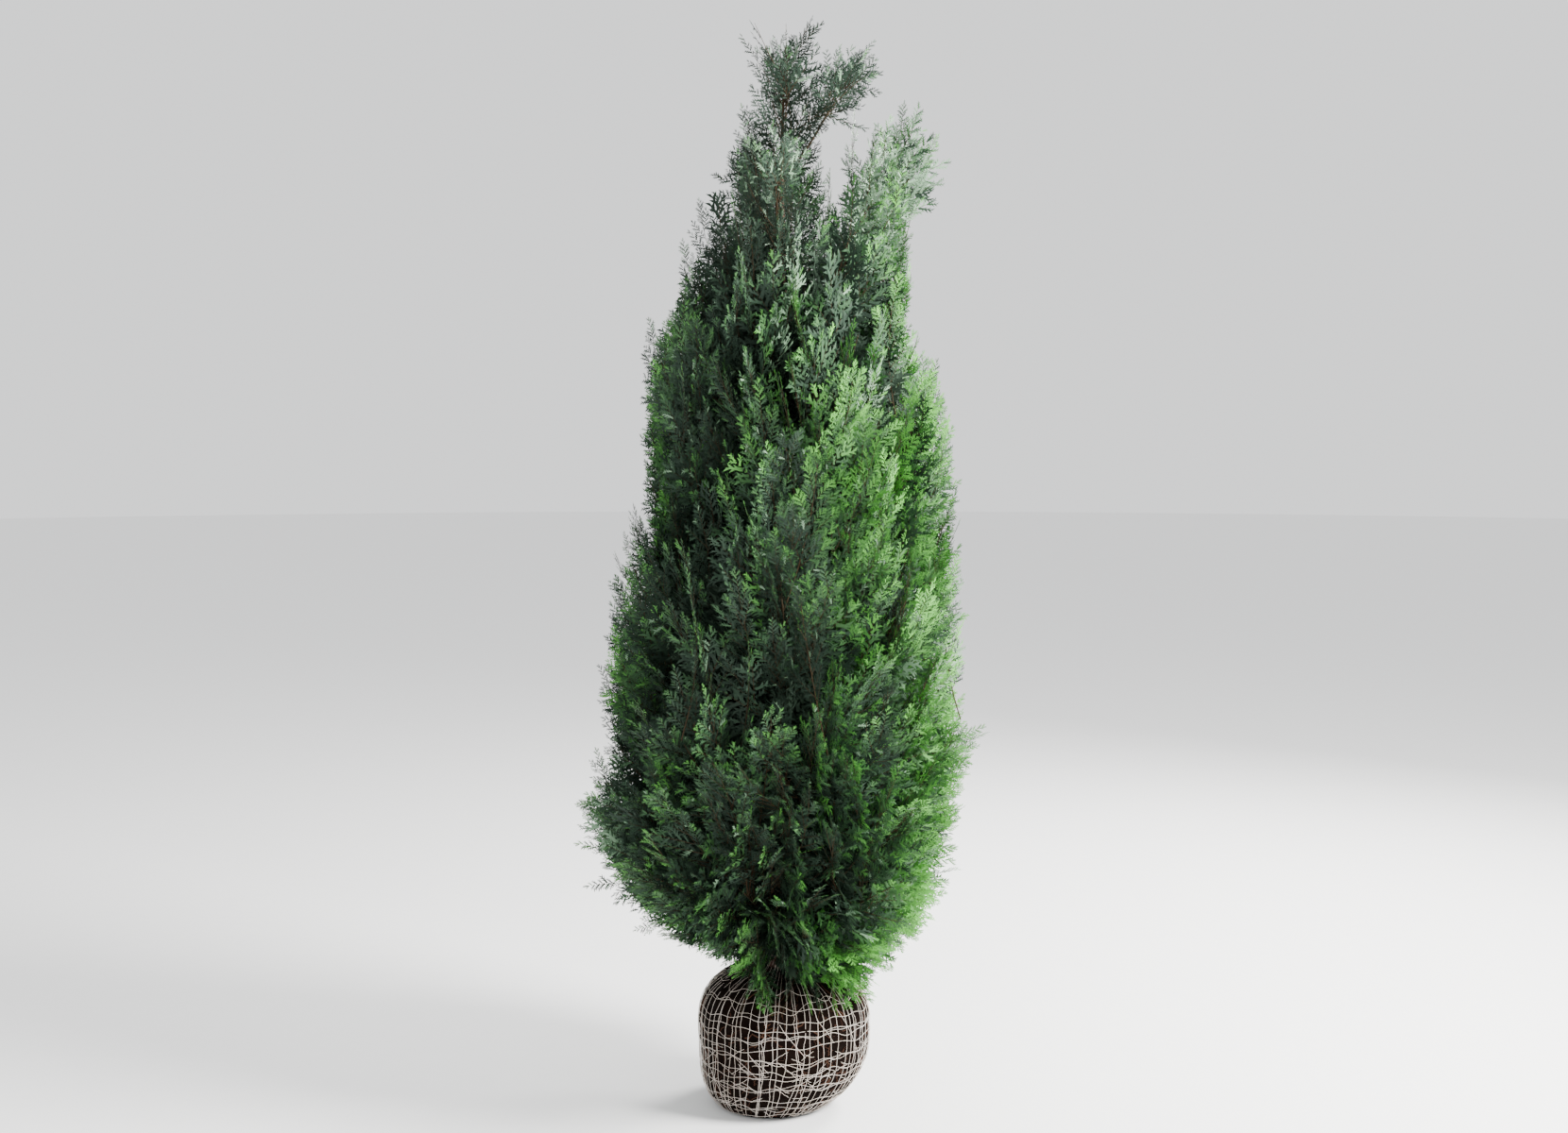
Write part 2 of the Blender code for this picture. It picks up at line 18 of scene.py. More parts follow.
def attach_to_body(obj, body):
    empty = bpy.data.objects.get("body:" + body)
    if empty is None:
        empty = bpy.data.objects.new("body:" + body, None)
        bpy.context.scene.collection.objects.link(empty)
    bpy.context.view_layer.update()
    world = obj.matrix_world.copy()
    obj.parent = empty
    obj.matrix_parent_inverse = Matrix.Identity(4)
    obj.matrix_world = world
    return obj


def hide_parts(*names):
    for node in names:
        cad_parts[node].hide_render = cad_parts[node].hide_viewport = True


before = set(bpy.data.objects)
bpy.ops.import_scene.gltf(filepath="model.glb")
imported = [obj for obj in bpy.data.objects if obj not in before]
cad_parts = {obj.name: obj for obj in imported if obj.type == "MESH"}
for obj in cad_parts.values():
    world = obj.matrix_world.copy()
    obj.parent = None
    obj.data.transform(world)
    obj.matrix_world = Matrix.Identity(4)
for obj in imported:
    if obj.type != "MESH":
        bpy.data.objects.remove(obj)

logging.basicConfig(level=logging.INFO, format="%(message)s")
LOG = logging.getLogger("false_cypress")

ROOT_BODY = "root"
PIECE_LIMIT = 195_000
UP = np.array([0.0, 0.0, 1.0])
FRONT = np.array([0.0, -1.0, 0.0])
GOLDEN_TURN = math.pi * (3.0 - math.sqrt(5.0))
# The least length that a vector is divided by, and the rise from which a tube counts as upright.
SHORTEST = 1e-12
STEEP = 0.8

Triple = tuple[float, float, float]
Colour = Triple
Curve = tuple[tuple[float, ...], tuple[float, ...]]


# Vectors and meshes


def unit(vectors: np.ndarray) -> np.ndarray:
    """Scales each vector to length one.

    Args:
        vectors: vectors along the last axis.

    Returns:
        The same directions, each of length one.
    """
    return vectors / np.maximum(np.linalg.norm(vectors, axis=-1, keepdims=True), SHORTEST)


def square_to(vectors: np.ndarray, lines: np.ndarray) -> np.ndarray:
    """Turns vectors square to lines, as near as can be to where they pointed.

    Args:
        vectors: the vectors.
        lines: the lines' directions, each of length one.

    Returns:
        Vectors of length one.
    """
    return unit(vectors - lines * np.sum(vectors * lines, axis=-1, keepdims=True))


def rolled(vectors: np.ndarray, lines: np.ndarray, roll: np.ndarray) -> np.ndarray:
    """Turns vectors about lines that they are square to.

    Args:
        vectors: the vectors.
        lines: the lines' directions, each of length one.
        roll: how far each is turned, in radians.

    Returns:
        The turned vectors.
    """
    return vectors * np.cos(roll)[..., None] + np.cross(lines, vectors) * np.sin(roll)[..., None]


def mesh_from_arrays(name: str, points: np.ndarray, faces: np.ndarray, smooth: bool) -> bpy.types.Object:
    """Makes an object from arrays of points and of faces with equal corner counts.

    Args:
        name: the object's and the mesh's name.
        points: corner positions, one row each.
        faces: corner numbers, one row a face.
        smooth: whether the faces are shaded smooth.

    Returns:
        The new object, linked to the scene.
    """
    corners = faces.shape[1]
    mesh = bpy.data.meshes.new(name)
    mesh.vertices.add(len(points))
    mesh.vertices.foreach_set("co", np.ascontiguousarray(points, dtype=np.float32).ravel())
    mesh.loops.add(faces.size)
    mesh.loops.foreach_set("vertex_index", np.ascontiguousarray(faces, dtype=np.int32).ravel())
    mesh.polygons.add(len(faces))
    mesh.polygons.foreach_set("loop_start", np.arange(0, faces.size, corners, dtype=np.int32))
    mesh.polygons.foreach_set("use_smooth", np.full(len(faces), smooth))
    mesh.update(calc_edges=True)
    obj = bpy.data.objects.new(name, mesh)
    bpy.context.scene.collection.objects.link(obj)
    return obj


def tubes(paths: np.ndarray, radii: np.ndarray, sides: int) -> tuple[np.ndarray, np.ndarray]:
    """Sweeps a round section along many paths of equal length.

    Args:
        paths: points of each path, shaped (paths, steps, 3).
        radii: the radius at each point, shaped (paths, steps).
        sides: corners of the section.

    Returns:
        The points and the four-cornered faces of all the tubes together.
    """
    count, steps = radii.shape
    along = unit(np.gradient(paths, axis=1))
    guide = np.where(np.abs(along[..., 2:3]) > STEEP, np.array([1.0, 0.0, 0.0]), UP)
    side = unit(np.cross(along, guide))
    other = np.cross(side, along)
    turn = np.arange(sides) * (math.tau / sides)
    ring = side[..., None, :] * np.cos(turn)[:, None] + other[..., None, :] * np.sin(turn)[:, None]
    points = (paths[..., None, :] + ring * radii[..., None, None]).reshape(-1, 3)
    base = (np.arange(count)[:, None, None] * steps + np.arange(steps - 1)[None, :, None]) * sides
    here = np.arange(sides)[None, None, :]
    after = (here + 1) % sides
    faces = np.stack([base + here, base + after, base + sides + after, base + sides + here], axis=-1)
    return points, faces.reshape(-1, 4)


def join_arrays(parts: list[tuple[np.ndarray, np.ndarray]]) -> tuple[np.ndarray, np.ndarray]:
    """Puts several sets of points and faces into one.

    Args:
        parts: pairs of points and faces with equal corner counts.

    Returns:
        All the points and all the faces.
    """
    points, faces, start = [], [], 0
    for some_points, some_faces in parts:
        points.append(some_points)
        faces.append(some_faces + start)
        start += len(some_points)
    return np.concatenate(points), np.concatenate(faces)


def ring_faces(rings: int, corners: int) -> np.ndarray:
    """Joins each ring of points to the next by four-cornered faces.

    Args:
        rings: how many rings there are.
        corners: how many points each has.

    Returns:
        The faces, one row each.
    """
    i, j = np.meshgrid(np.arange(rings - 1), np.arange(corners), indexing="ij")
    low, high = i * corners, (i + 1) * corners
    after = (j + 1) % corners
    return np.stack([low + j, low + after, high + after, high + j], axis=-1).reshape(-1, 4)


def bend(start: np.ndarray, knee: np.ndarray, end: np.ndarray, steps: int) -> np.ndarray:
    """Curves from start to end, drawn towards the knee.

    Args:
        start: first points, shaped (curves, 3).
        knee: the points that draw the curves.
        end: last points.
        steps: how many points each curve gets.

    Returns:
        Points shaped (curves, steps, 3).
    """
    t = np.linspace(0.0, 1.0, steps)[None, :, None]
    return start[:, None] * (1 - t) ** 2 + knee[:, None] * 2 * t * (1 - t) + end[:, None] * t * t


def attach(piece: bpy.types.Object, slot: str, material: bpy.types.Material, nodes: list[str]) -> None:
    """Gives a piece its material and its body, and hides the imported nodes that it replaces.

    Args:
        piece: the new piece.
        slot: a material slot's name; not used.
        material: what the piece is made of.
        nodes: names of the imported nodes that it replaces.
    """
    piece.data.materials.append(material)
    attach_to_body(piece, ROOT_BODY)
    if nodes:
        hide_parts(*nodes)
    faces = piece.data.polygons
    triangles = len(faces) * (faces[0].loop_total - 2)
    LOG.info("%s: %d triangles", piece.name, triangles)


# Shared shader effects


def group_with(name: str, inputs: dict[str, float], outputs: dict[str, str]) -> bpy.types.NodeTree:
    """Starts a shader node group.

    Args:
        name: the group's name.
        inputs: each input's name and default value.
        outputs: each output's name and socket type.

    Returns:
        The group, with its input and output nodes named "in" and "out".
    """
    group = bpy.data.node_groups.new(name, "ShaderNodeTree")
    for label, value in inputs.items():
        socket = group.interface.new_socket(label, in_out="INPUT", socket_type="NodeSocketFloat")
        socket.default_value = value
    for label, kind in outputs.items():
        group.interface.new_socket(label, in_out="OUTPUT", socket_type=kind)
    group.nodes.new("NodeGroupInput").name = "in"
    group.nodes.new("NodeGroupOutput").name = "out"
    return group


@dataclass(frozen=True)
class Grain:
    """Fine mottling that every natural surface here has, as one shared node group."""

    name: str = "mottled_grain"
    detail: float = 5.0
    roughness: float = 0.6

    def group(self) -> bpy.types.NodeTree:
        """Finds the group, or builds it.

        Returns:
            The group. It puts out a Tint round one and a Height from nought to one.
        """
        found = bpy.data.node_groups.get(self.name)
        if found:
            return found
        group = group_with(
            self.name,
            {"Scale": 200.0, "Contrast": 0.3, "Stretch": 1.0},
            {"Tint": "NodeSocketFloat", "Height": "NodeSocketFloat"},
        )
        nodes, links = group.nodes, group.links
        place = nodes.new("ShaderNodeTexCoord")
        squeeze = nodes.new("ShaderNodeCombineXYZ")
        squeeze.inputs["X"].default_value = 1.0
        squeeze.inputs["Y"].default_value = 1.0
        links.new(nodes["in"].outputs["Stretch"], squeeze.inputs["Z"])
        stretched = nodes.new("ShaderNodeVectorMath")
        stretched.operation = "MULTIPLY"
        links.new(place.outputs["Object"], stretched.inputs[0])
        links.new(squeeze.outputs["Vector"], stretched.inputs[1])
        mottle = nodes.new("ShaderNodeTexNoise")
        mottle.inputs["Detail"].default_value = self.detail
        mottle.inputs["Roughness"].default_value = self.roughness
        links.new(stretched.outputs["Vector"], mottle.inputs["Vector"])
        links.new(nodes["in"].outputs["Scale"], mottle.inputs["Scale"])
        spread = nodes.new("ShaderNodeMath")
        spread.operation = "MULTIPLY_ADD"
        shifted = nodes.new("ShaderNodeMath")
        shifted.operation = "SUBTRACT"
        shifted.inputs[1].default_value = 0.5
        links.new(mottle.outputs["Fac"], shifted.inputs[0])
        links.new(shifted.outputs["Value"], spread.inputs[0])
        links.new(nodes["in"].outputs["Contrast"], spread.inputs[1])
        spread.inputs[2].default_value = 1.0
        links.new(spread.outputs["Value"], nodes["out"].inputs["Tint"])
        links.new(mottle.outputs["Fac"], nodes["out"].inputs["Height"])
        return group


@dataclass(frozen=True)
class Finish:
    """A natural surface: two colours that mix in patches, mottled, with a fine relief."""

    name: str
    colour: Colour
    patch_colour: Colour
    roughness: float
    grain_scale: float
    contrast: float = 0.4
    stretch: float = 1.0
    relief: float = 0.0
    relief_strength: float = 0.6
    patch_scale: float = 14.0
    specular: float = 0.5

    def material(self) -> bpy.types.Material:
        """Builds the material, with its mottling from the shared group.

        Returns:
            The material.
        """
        material = bpy.data.materials.new(self.name)
        material.use_nodes = True
        nodes, links = material.node_tree.nodes, material.node_tree.links
        shader = nodes["Principled BSDF"]
        shader.inputs["Roughness"].default_value = self.roughness
        shader.inputs["Specular IOR Level"].default_value = self.specular
        grain = nodes.new("ShaderNodeGroup")
        grain.node_tree = Grain().group()
        grain.inputs["Scale"].default_value = self.grain_scale
        grain.inputs["Contrast"].default_value = self.contrast
        grain.inputs["Stretch"].default_value = self.stretch
        patches = nodes.new("ShaderNodeTexNoise")
        patches.inputs["Scale"].default_value = self.patch_scale
        place = nodes.new("ShaderNodeTexCoord")
        links.new(place.outputs["Object"], patches.inputs["Vector"])
        mix = nodes.new("ShaderNodeMix")
        mix.data_type = "RGBA"
        mix.inputs["A"].default_value = (*self.colour, 1.0)
        mix.inputs["B"].default_value = (*self.patch_colour, 1.0)
        links.new(patches.outputs["Fac"], mix.inputs["Factor"])
        tint = nodes.new("ShaderNodeVectorMath")
        tint.operation = "SCALE"
        links.new(mix.outputs["Result"], tint.inputs[0])
        links.new(grain.outputs["Tint"], tint.inputs["Scale"])
        links.new(tint.outputs["Vector"], shader.inputs["Base Color"])
        if self.relief:
            bump = nodes.new("ShaderNodeBump")
            bump.inputs["Strength"].default_value = self.relief_strength
            bump.inputs["Distance"].default_value = self.relief
            links.new(grain.outputs["Height"], bump.inputs["Height"])
            links.new(bump.outputs["Normal"], shader.inputs["Normal"])
        return material


@dataclass(frozen=True)
class Green(Finish):
    """The finish of scale leaves."""

    grain_scale: float = 320.0


class Tone(Enum):
    """The greens that sprays are dealt, from the painted shade of the crown's inside to its fresh tips."""

    # Painted shade: the green of every spray deep inside the crown.
    SHADE = Green("green_shade", (0.034, 0.056, 0.038), (0.043, 0.070, 0.047), 0.65, specular=0.1)
    DUSK = Green("green_dusky", (0.019, 0.034, 0.023), (0.025, 0.044, 0.030), 0.55, specular=0.12)
    BLUE = Green("green_bluish", (0.028, 0.055, 0.034), (0.037, 0.069, 0.042), 0.50, specular=0.15)
    DEEP = Green("green_deep", (0.033, 0.076, 0.036), (0.044, 0.095, 0.045), 0.50, specular=0.15)
    LEAF = Green("green_leaf", (0.048, 0.124, 0.043), (0.062, 0.149, 0.052), 0.48, specular=0.18)
    LIGHT = Green("green_light", (0.072, 0.216, 0.050), (0.093, 0.256, 0.062), 0.48, specular=0.13)
    FRESH = Green("green_fresh_tips", (0.102, 0.345, 0.060), (0.142, 0.405, 0.080), 0.48, specular=0.14)
    # Pale bluish green: partly the leaves' real glaucous bloom, partly a painted highlight.
    SILVER = Green("green_glaucous_painted_glint", (0.150, 0.258, 0.160), (0.200, 0.322, 0.200), 0.42, specular=0.4)


class Surface(Enum):
    """The other surfaces: the plant's own, the net's and the floor's."""

    BARK = Finish(
        "bark", (0.150, 0.070, 0.040), (0.075, 0.040, 0.028), 0.85, 160.0,
        contrast=0.9, stretch=0.12, relief=0.0012,
    )
    TWIG = Finish(
        "twig_bark", (0.052, 0.027, 0.014), (0.028, 0.026, 0.014), 0.7, 240.0,
        contrast=0.5, stretch=0.3, specular=0.1,
    )
    SOIL = Finish(
        "soil", (0.0010, 0.0006, 0.0004), (0.0070, 0.0034, 0.0022), 0.95, 150.0,
        contrast=1.2, relief=0.0015, patch_scale=22.0, specular=0.04,
    )
    ROOT = Finish(
        "root_skin", (0.085, 0.036, 0.020), (0.030, 0.014, 0.009), 0.8, 200.0, contrast=0.6, specular=0.1
    )
    WIRE = Finish("net_strand", (0.90, 0.84, 0.78), (0.50, 0.41, 0.33), 0.60, 300.0)
    FLOOR = Finish("pale_floor", (0.86, 0.86, 0.86), (0.88, 0.88, 0.88), 0.7, 30.0, contrast=0.02)


# Trunk and ball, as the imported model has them


@dataclass
class TrunkLine:
    """The trunk's middle line and taper.

    Attributes:
        sway: how far it sways to the sides.
        sway_depth: how far it sways to the front and back, as a share of that.
        sway_turns: how many half waves of each there are.
    """

    foot: float = 0.28
    top: float = 1.935
    foot_radius: float = 0.021
    tip_radius: float = 0.0035
    flare: float = 0.014
    flare_height: float = 0.028
    sway: float = 0.010
    sway_depth: float = 0.6
    sway_turns: tuple[float, float] = (1.5, 2.2)
    lean: float = 0.006

    def centre(self, height: np.ndarray) -> np.ndarray:
        """Finds points on the middle line.

        Args:
            height: their heights.

        Returns:
            One point for each.
        """
        height = np.asarray(height, dtype=float)
        share = (height - self.foot) / (self.top - self.foot)
        across, deep = self.sway_turns
        x = self.sway * np.sin(across * math.pi * share) + self.lean * share
        y = self.sway_depth * self.sway * np.sin(deep * math.pi * share)
        return np.stack([x, y, height], axis=-1)

    def radius(self, height: np.ndarray) -> np.ndarray:
        """Finds how thick the trunk is.

        Args:
            height: the heights that count.

        Returns:
            The radius at each.
        """
        share = (height - self.foot) / (self.top - self.foot)
        flare = self.flare * np.exp(-(height - self.foot) / self.flare_height)
        return self.foot_radius + (self.tip_radius - self.foot_radius) * share + flare


@dataclass
class BallShape:
    """The root ball's outer surface.

    Attributes:
        lower_reach: how far below the waist the curve would close.
        upper_reach: how far above it.
        squareness: how full the curve is; two is an ellipse.
        foot_shift_curve: how soon the foot's shift fades upwards.
        lump: how uneven the ball is, as a share of its radius.
        lump_counts: how many large and how many small lumps there are round it.
        small_lump: how high the small ones are, as a share of the large ones.
        lump_twist: how far the small ones wind up the ball, in radians a metre.
    """

    height: float = 0.28
    waist_height: float = 0.165
    waist_radius: float = 0.171
    lower_reach: float = 0.190
    upper_reach: float = 0.119
    squareness: float = 2.6
    foot_shift: float = -0.026
    foot_shift_height: float = 0.13
    foot_shift_curve: float = 1.5
    lump: float = 0.012
    lump_counts: tuple[int, int] = (2, 3)
    lump_phase: float = 0.6
    small_lump: float = 0.7
    lump_twist: float = 9.0

    def point(self, angle: np.ndarray, height: np.ndarray, proud: float = 0.0) -> np.ndarray:
        """Points on the ball, or outside it.

        Args:
            angle: turns about the upright axis, in radians.
            height: heights above the underside.
            proud: how far outside the surface, measured level.

        Returns:
            One point for each angle and height.
        """
        reach = np.where(height < self.waist_height, self.lower_reach, self.upper_reach)
        share = np.minimum(np.abs(height - self.waist_height) / reach, 1.0)
        radius = self.waist_radius * (1.0 - share**self.squareness) ** (1.0 / self.squareness)
        large, small = self.lump_counts
        lumps = np.cos(large * angle + self.lump_phase)
        lumps = lumps + self.small_lump * np.cos(small * angle + self.lump_twist * height)
        radius = radius * (1.0 + self.lump * lumps) + proud
        fade = np.maximum(0.0, 1.0 - height / self.foot_shift_height) ** self.foot_shift_curve
        x = self.foot_shift * fade + radius * np.cos(angle)
        return np.stack([x, radius * np.sin(angle), height + 0 * angle], axis=-1)


# The crown's rule: tiers of masses round the trunk


@dataclass(frozen=True)
class Tier:
    """A ring of masses, as the source has it.

    Attributes:
        attach: the height where its masses leave the trunk.
        base_radius: how far from the trunk a bough ends.
        tip_share: how far out their tips are, as a share of the crown's radius.
        bough: whether the masses stand on boughs.
    """

    name: str
    count: int
    turn_deg: float
    attach: float
    base_radius: float
    base_height: float
    tip_height: float
    tip_share: float
    bough: bool


@dataclass(frozen=True)
class Spire:
    """A slender mass near the top.

    Attributes:
        attach: the height where it leaves the trunk.
        foot: the height where its furnished stem starts.
        bow: how far that stem bends outwards.
        freshness: how bright its plumes are.
    """

    name: str
    turn_deg: float
    attach: float
    tip_radius: float
    tip_height: float
    foot: float
    bow: float
    side_plumes: int
    side_length: float
    spray_length: float
    freshness: float
    glaucous: float


@dataclass
class Mass:
    """One mass of foliage: where its stem starts, its tip and its outward direction."""

    name: str
    base: np.ndarray
    tip: np.ndarray
    out: np.ndarray
    bough_root: np.ndarray | None = None
    spire: Spire | None = None


@dataclass
class CrownRule:
    """Where the masses stand, by the same seeded rule as the solids.

    Attributes:
        widest: where the crown is widest, as a share of its height.
        ends: the least and the greatest share of its height that count.
        shifts: heights, and how far the crown's middle lies towards +X there.
        turn_play_deg: how far masses stand from their places in a tier.
        lift_share: how much of a tip's play in height its stem's start takes part in.
        reach_play: the least and the greatest share of their usual reach.
        root_gap: how far from the trunk's middle their stems start.
    """

    trunk: TrunkLine
    seed: int = 7
    bottom: float = 0.27
    top: float = 2.174
    full_radius: float = 0.388
    widest: float = 0.226
    rise: float = 0.25
    taper: float = 0.735
    ends: tuple[float, float] = (0.01, 0.99)
    turn_play_deg: float = 9.0
    lift_play: float = 0.03
    lift_share: float = 0.6
    reach_play: tuple[float, float] = (0.95, 1.04)
    root_gap: float = 0.012
    shifts: tuple[tuple[float, float], ...] = (
        (0.55, -0.026), (0.85, 0.004), (1.15, 0.008), (1.40, 0.028), (1.62, 0.016), (1.85, 0.068),
    )
    tiers: tuple[Tier, ...] = (
        Tier("skirt", 6, 20, 0.345, 0.060, 0.385, 0.525, 1.02, False),
        Tier("low", 6, -8, 0.430, 0.100, 0.530, 0.850, 1.00, True),
        Tier("middle", 6, 24, 0.650, 0.095, 0.740, 1.140, 1.00, True),
        Tier("upper", 5, -14, 0.890, 0.085, 0.975, 1.420, 1.01, True),
        Tier("high", 5, 26, 1.140, 0.060, 1.220, 1.680, 1.00, False),
        Tier("crest", 3, 60, 1.370, 0.040, 1.440, 1.820, 1.00, False),
    )
    spires: tuple[Spire, ...] = (
        Spire("right_spire", 2, 1.470, 0.250, 1.945, 1.50, 0.055, 18, 0.120, 0.080, 0.20, 0.58),
        Spire("front_spire", -100, 1.600, 0.105, 1.900, 1.60, 0.030, 12, 0.12, 0.058, 0.44, 0.10),
        Spire("left_spire", 178, 1.640, 0.078, 1.955, 1.62, 0.030, 12, 0.062, 0.054, 0.36, 0.02),
        Spire("back_spire", 84, 1.630, 0.115, 1.930, 1.62, 0.030, 12, 0.12, 0.058, 0.44, 0.05),
        Spire("leader_side", 2, 1.850, 0.135, 2.070, 1.93, 0.016, 7, 0.056, 0.066, 0.30, 0.02),
    )
    leader: Spire = Spire("leader", 0, 1.935, 0.004, 2.165, 1.66, 0.004, 14, 0.082, 0.076, 0.30, 0.02)

    def radius(self, height: float) -> float:
        """Finds the crown's mean radius.

        Args:
            height: the height that counts.

        Returns:
            The radius there.
        """
        least, most = self.ends
        share = min(max((height - self.bottom) / (self.top - self.bottom), least), most)
        rise = (share / self.widest) ** self.rise
        return self.full_radius * rise * ((1.0 - share) / (1.0 - self.widest)) ** self.taper

    def shift(self, height: float) -> float:
        """How far the crown's middle lies towards +X at a height."""
        return float(np.interp(height, [row[0] for row in self.shifts], [row[1] for row in self.shifts]))

    def tier_masses(self, tier: Tier, draw: random.Random) -> list[Mass]:
        """Places the masses of one tier.

        Args:
            tier: the tier.
            draw: the seeded draw.

        Returns:
            Its masses, round and round.
        """
        made, play, lift_play = [], self.turn_play_deg, self.lift_play
        for i in range(tier.count):
            turn = math.radians(tier.turn_deg + 360.0 * i / tier.count + draw.uniform(-play, play))
            lift = draw.uniform(-lift_play, lift_play)
            height = tier.tip_height + lift
            out = np.array([math.cos(turn), math.sin(turn), 0.0])
            reach = self.radius(height) * tier.tip_share * draw.uniform(*self.reach_play)
            tip = np.array([self.shift(height), 0.0, height]) + out * reach
            base = self.trunk.centre(tier.base_height) + out * tier.base_radius
            base[2] += lift * self.lift_share
            root = self.trunk.centre(tier.attach + lift * self.lift_share) + out * self.root_gap
            name = f"{tier.name}_{i + 1}"
            made.append(Mass(name, base, tip, out, root) if tier.bough else Mass(name, root, tip, out))
        return made

    def masses(self) -> list[Mass]:
        """Places every mass.

        Returns:
            The masses, from the lowest tier to the leader.
        """
        draw = random.Random(self.seed)
        made = [mass for tier in self.tiers for mass in self.tier_masses(tier, draw)]
        for spire in (*self.spires, self.leader):
            turn = math.radians(spire.turn_deg)
            out = np.array([math.cos(turn), math.sin(turn), 0.0])
            tip = out * spire.tip_radius + UP * spire.tip_height
            made.append(Mass(spire.name, self.trunk.centre(spire.attach), tip, out, spire=spire))
        return made


# Foliage


class Tip(NamedTuple):
    """A separate tip: where it ends, its lean to the right, and how long its plume and its sprays are."""

    x: float
    y: float
    z: float
    lean_deg: float
    plume_length: float
    spray_length: float


@dataclass
class Plumes:
    """Many plumes as arrays: each is a curved stem that carries two ranks of flat sprays in one plane."""

    start: np.ndarray
    knee: np.ndarray
    end: np.ndarray
    normal: np.ndarray
    spray_length: np.ndarray
    brightness: np.ndarray
    glaucous: np.ndarray


@dataclass
class Sprays:
    """Many flat sprays as arrays: each is a curved rib that carries two ranks of branchlets."""

    root: np.ndarray
    forward: np.ndarray
    normal: np.ndarray
    curl: np.ndarray
    length: np.ndarray
    brightness: np.ndarray
    glaucous: np.ndarray

    def at(self, share: np.ndarray) -> np.ndarray:
        """Points at these shares of every rib, shaped (sprays, shares, 3)."""
        u = share[None, :, None]
        return self.root[:, None] + self.length[:, None, None] * (
            self.forward[:, None] * u + self.curl[:, None] * u * u
        )

    def tips(self) -> np.ndarray:
        """The ribs' far ends."""
        return self.at(np.array([1.0]))[:, 0]


@dataclass(frozen=True)
class Growth:
    """How one kind of plume is furnished, from its sprays to the teeth of its branchlets.

    Attributes:
        sprays: how many sprays a plume carries, besides the one at its tip.
        bare: the share of its stem that is bare.
        opening_deg: the angle between stem and spray, at the stem's foot and near its tip.
        branchlet_share: how long branchlets are, as a share of the spray.
        looseness: how far sprays leave their plume's plane, in radians.
        spine: half the width of a branchlet's spine, as a share of its length.
        tooth_width: how far its teeth stand out, likewise.
        reach_share: how far out its sprays may reach, as a share of the crown's outline.
    """

    sprays: int
    bare: float
    opening_deg: tuple[float, float]
    branchlets: int
    branchlet_share: float
    teeth: int
    looseness: float
    spine: float
    tooth_width: float
    tooth_base: float
    reach_share: float = 1.03


@dataclass(frozen=True)
class Rows:
    """Level rows of plume tips round the crown.

    Attributes:
        lowest: the lowest row's height.
        below: the height that every row is below.
        step: the way up from row to row.
        share: how far out they lie, as a share of the outline.
        gap: the distance between neighbours in a row.
    """

    lowest: float
    below: float
    step: float
    share: float
    gap: float


@dataclass(frozen=True)
class Layer:
    """One layer of the crown: its rows, how long its plumes and their sprays are, and how they grow."""

    rows: tuple[Rows, ...]
    plume_length: float
    spray_length: float
    growth: Growth


@dataclass(frozen=True)
class CrownOutline:
    """How far the crown reaches to the left and to the right at each height, and how low it hangs.

    Attributes:
        rows: heights, and the reach to the left and to the right there.
        slack: how far single sprays may pass the outline.
        open_top: the height above which the tips stand free.
        rim_height: how low foliage hangs over the ball.
        rim_radius: the distance from the middle at which it starts to hang higher.
        rim_slope: how fast it does.
        apron_turn_deg: the side on which it hangs lower.
        apron_spread_deg: how wide that side is.
        apron_drop: how much lower it hangs there.
        apron_edge: how suddenly that ends at its sides.
    """

    rows: tuple[tuple[float, float, float], ...] = (
        (0.28, 0.14, 0.20), (0.33, 0.180, 0.240), (0.38, 0.270, 0.275), (0.44, 0.315, 0.310),
        (0.52, 0.355, 0.325), (0.59, 0.400, 0.335), (0.66, 0.385, 0.345), (0.75, 0.355, 0.370),
        (0.83, 0.353, 0.343), (0.98, 0.333, 0.342), (1.13, 0.322, 0.338), (1.19, 0.278, 0.338),
        (1.36, 0.272, 0.325), (1.50, 0.255, 0.285), (1.59, 0.220, 0.240), (1.66, 0.190, 0.235),
        (1.73, 0.165, 0.232), (1.80, 0.100, 0.225), (1.90, 0.065, 0.200),
    )
    slack: float = 0.010
    open_top: float = 1.80
    rim_height: float = 0.300
    rim_radius: float = 0.11
    rim_slope: float = 0.33
    apron_turn_deg: float = -58.0
    apron_spread_deg: float = 66.0
    apron_drop: float = 0.105
    apron_edge: int = 4

    def reach(self, height: np.ndarray) -> tuple[np.ndarray, np.ndarray]:
        """How wide the crown is at some heights.

        Args:
            height: the heights.

        Returns:
            The crown's radius there, and how far its middle lies towards +X.
        """
        rows = np.array(self.rows)
        left = np.interp(height, rows[:, 0], rows[:, 1])
        right = np.interp(height, rows[:, 0], rows[:, 2])
        return (left + right) / 2, (right - left) / 2

    def lowest(self, points: np.ndarray) -> np.ndarray:
        """How low foliage hangs: lower over the ball's front right than elsewhere.

        Args:
            points: points whose place in plan counts.

        Returns:
            The least height that foliage may have at each.
        """
        radius = np.hypot(points[:, 0], points[:, 1])
        turn = np.degrees(np.arctan2(points[:, 1], points[:, 0])) - self.apron_turn_deg
        turn = (turn + 180.0) % 360.0 - 180.0
        drop = self.apron_drop * np.exp(-((turn / self.apron_spread_deg) ** self.apron_edge))
        return self.rim_height + self.rim_slope * np.maximum(0.0, radius - self.rim_radius) - drop

    def outside(self, points: np.ndarray, share: float) -> np.ndarray:
        """Finds points that stand out too far to the side.

        Args:
            points: the points.
            share: how far out they may be, as a share of the outline.

        Returns:
            True for each point that is further out.
        """
        far, middle = self.reach(points[:, 2])
        out = np.hypot(points[:, 0] - middle, points[:, 1])
        return (out > far * share + self.slack) & (points[:, 2] < self.open_top)


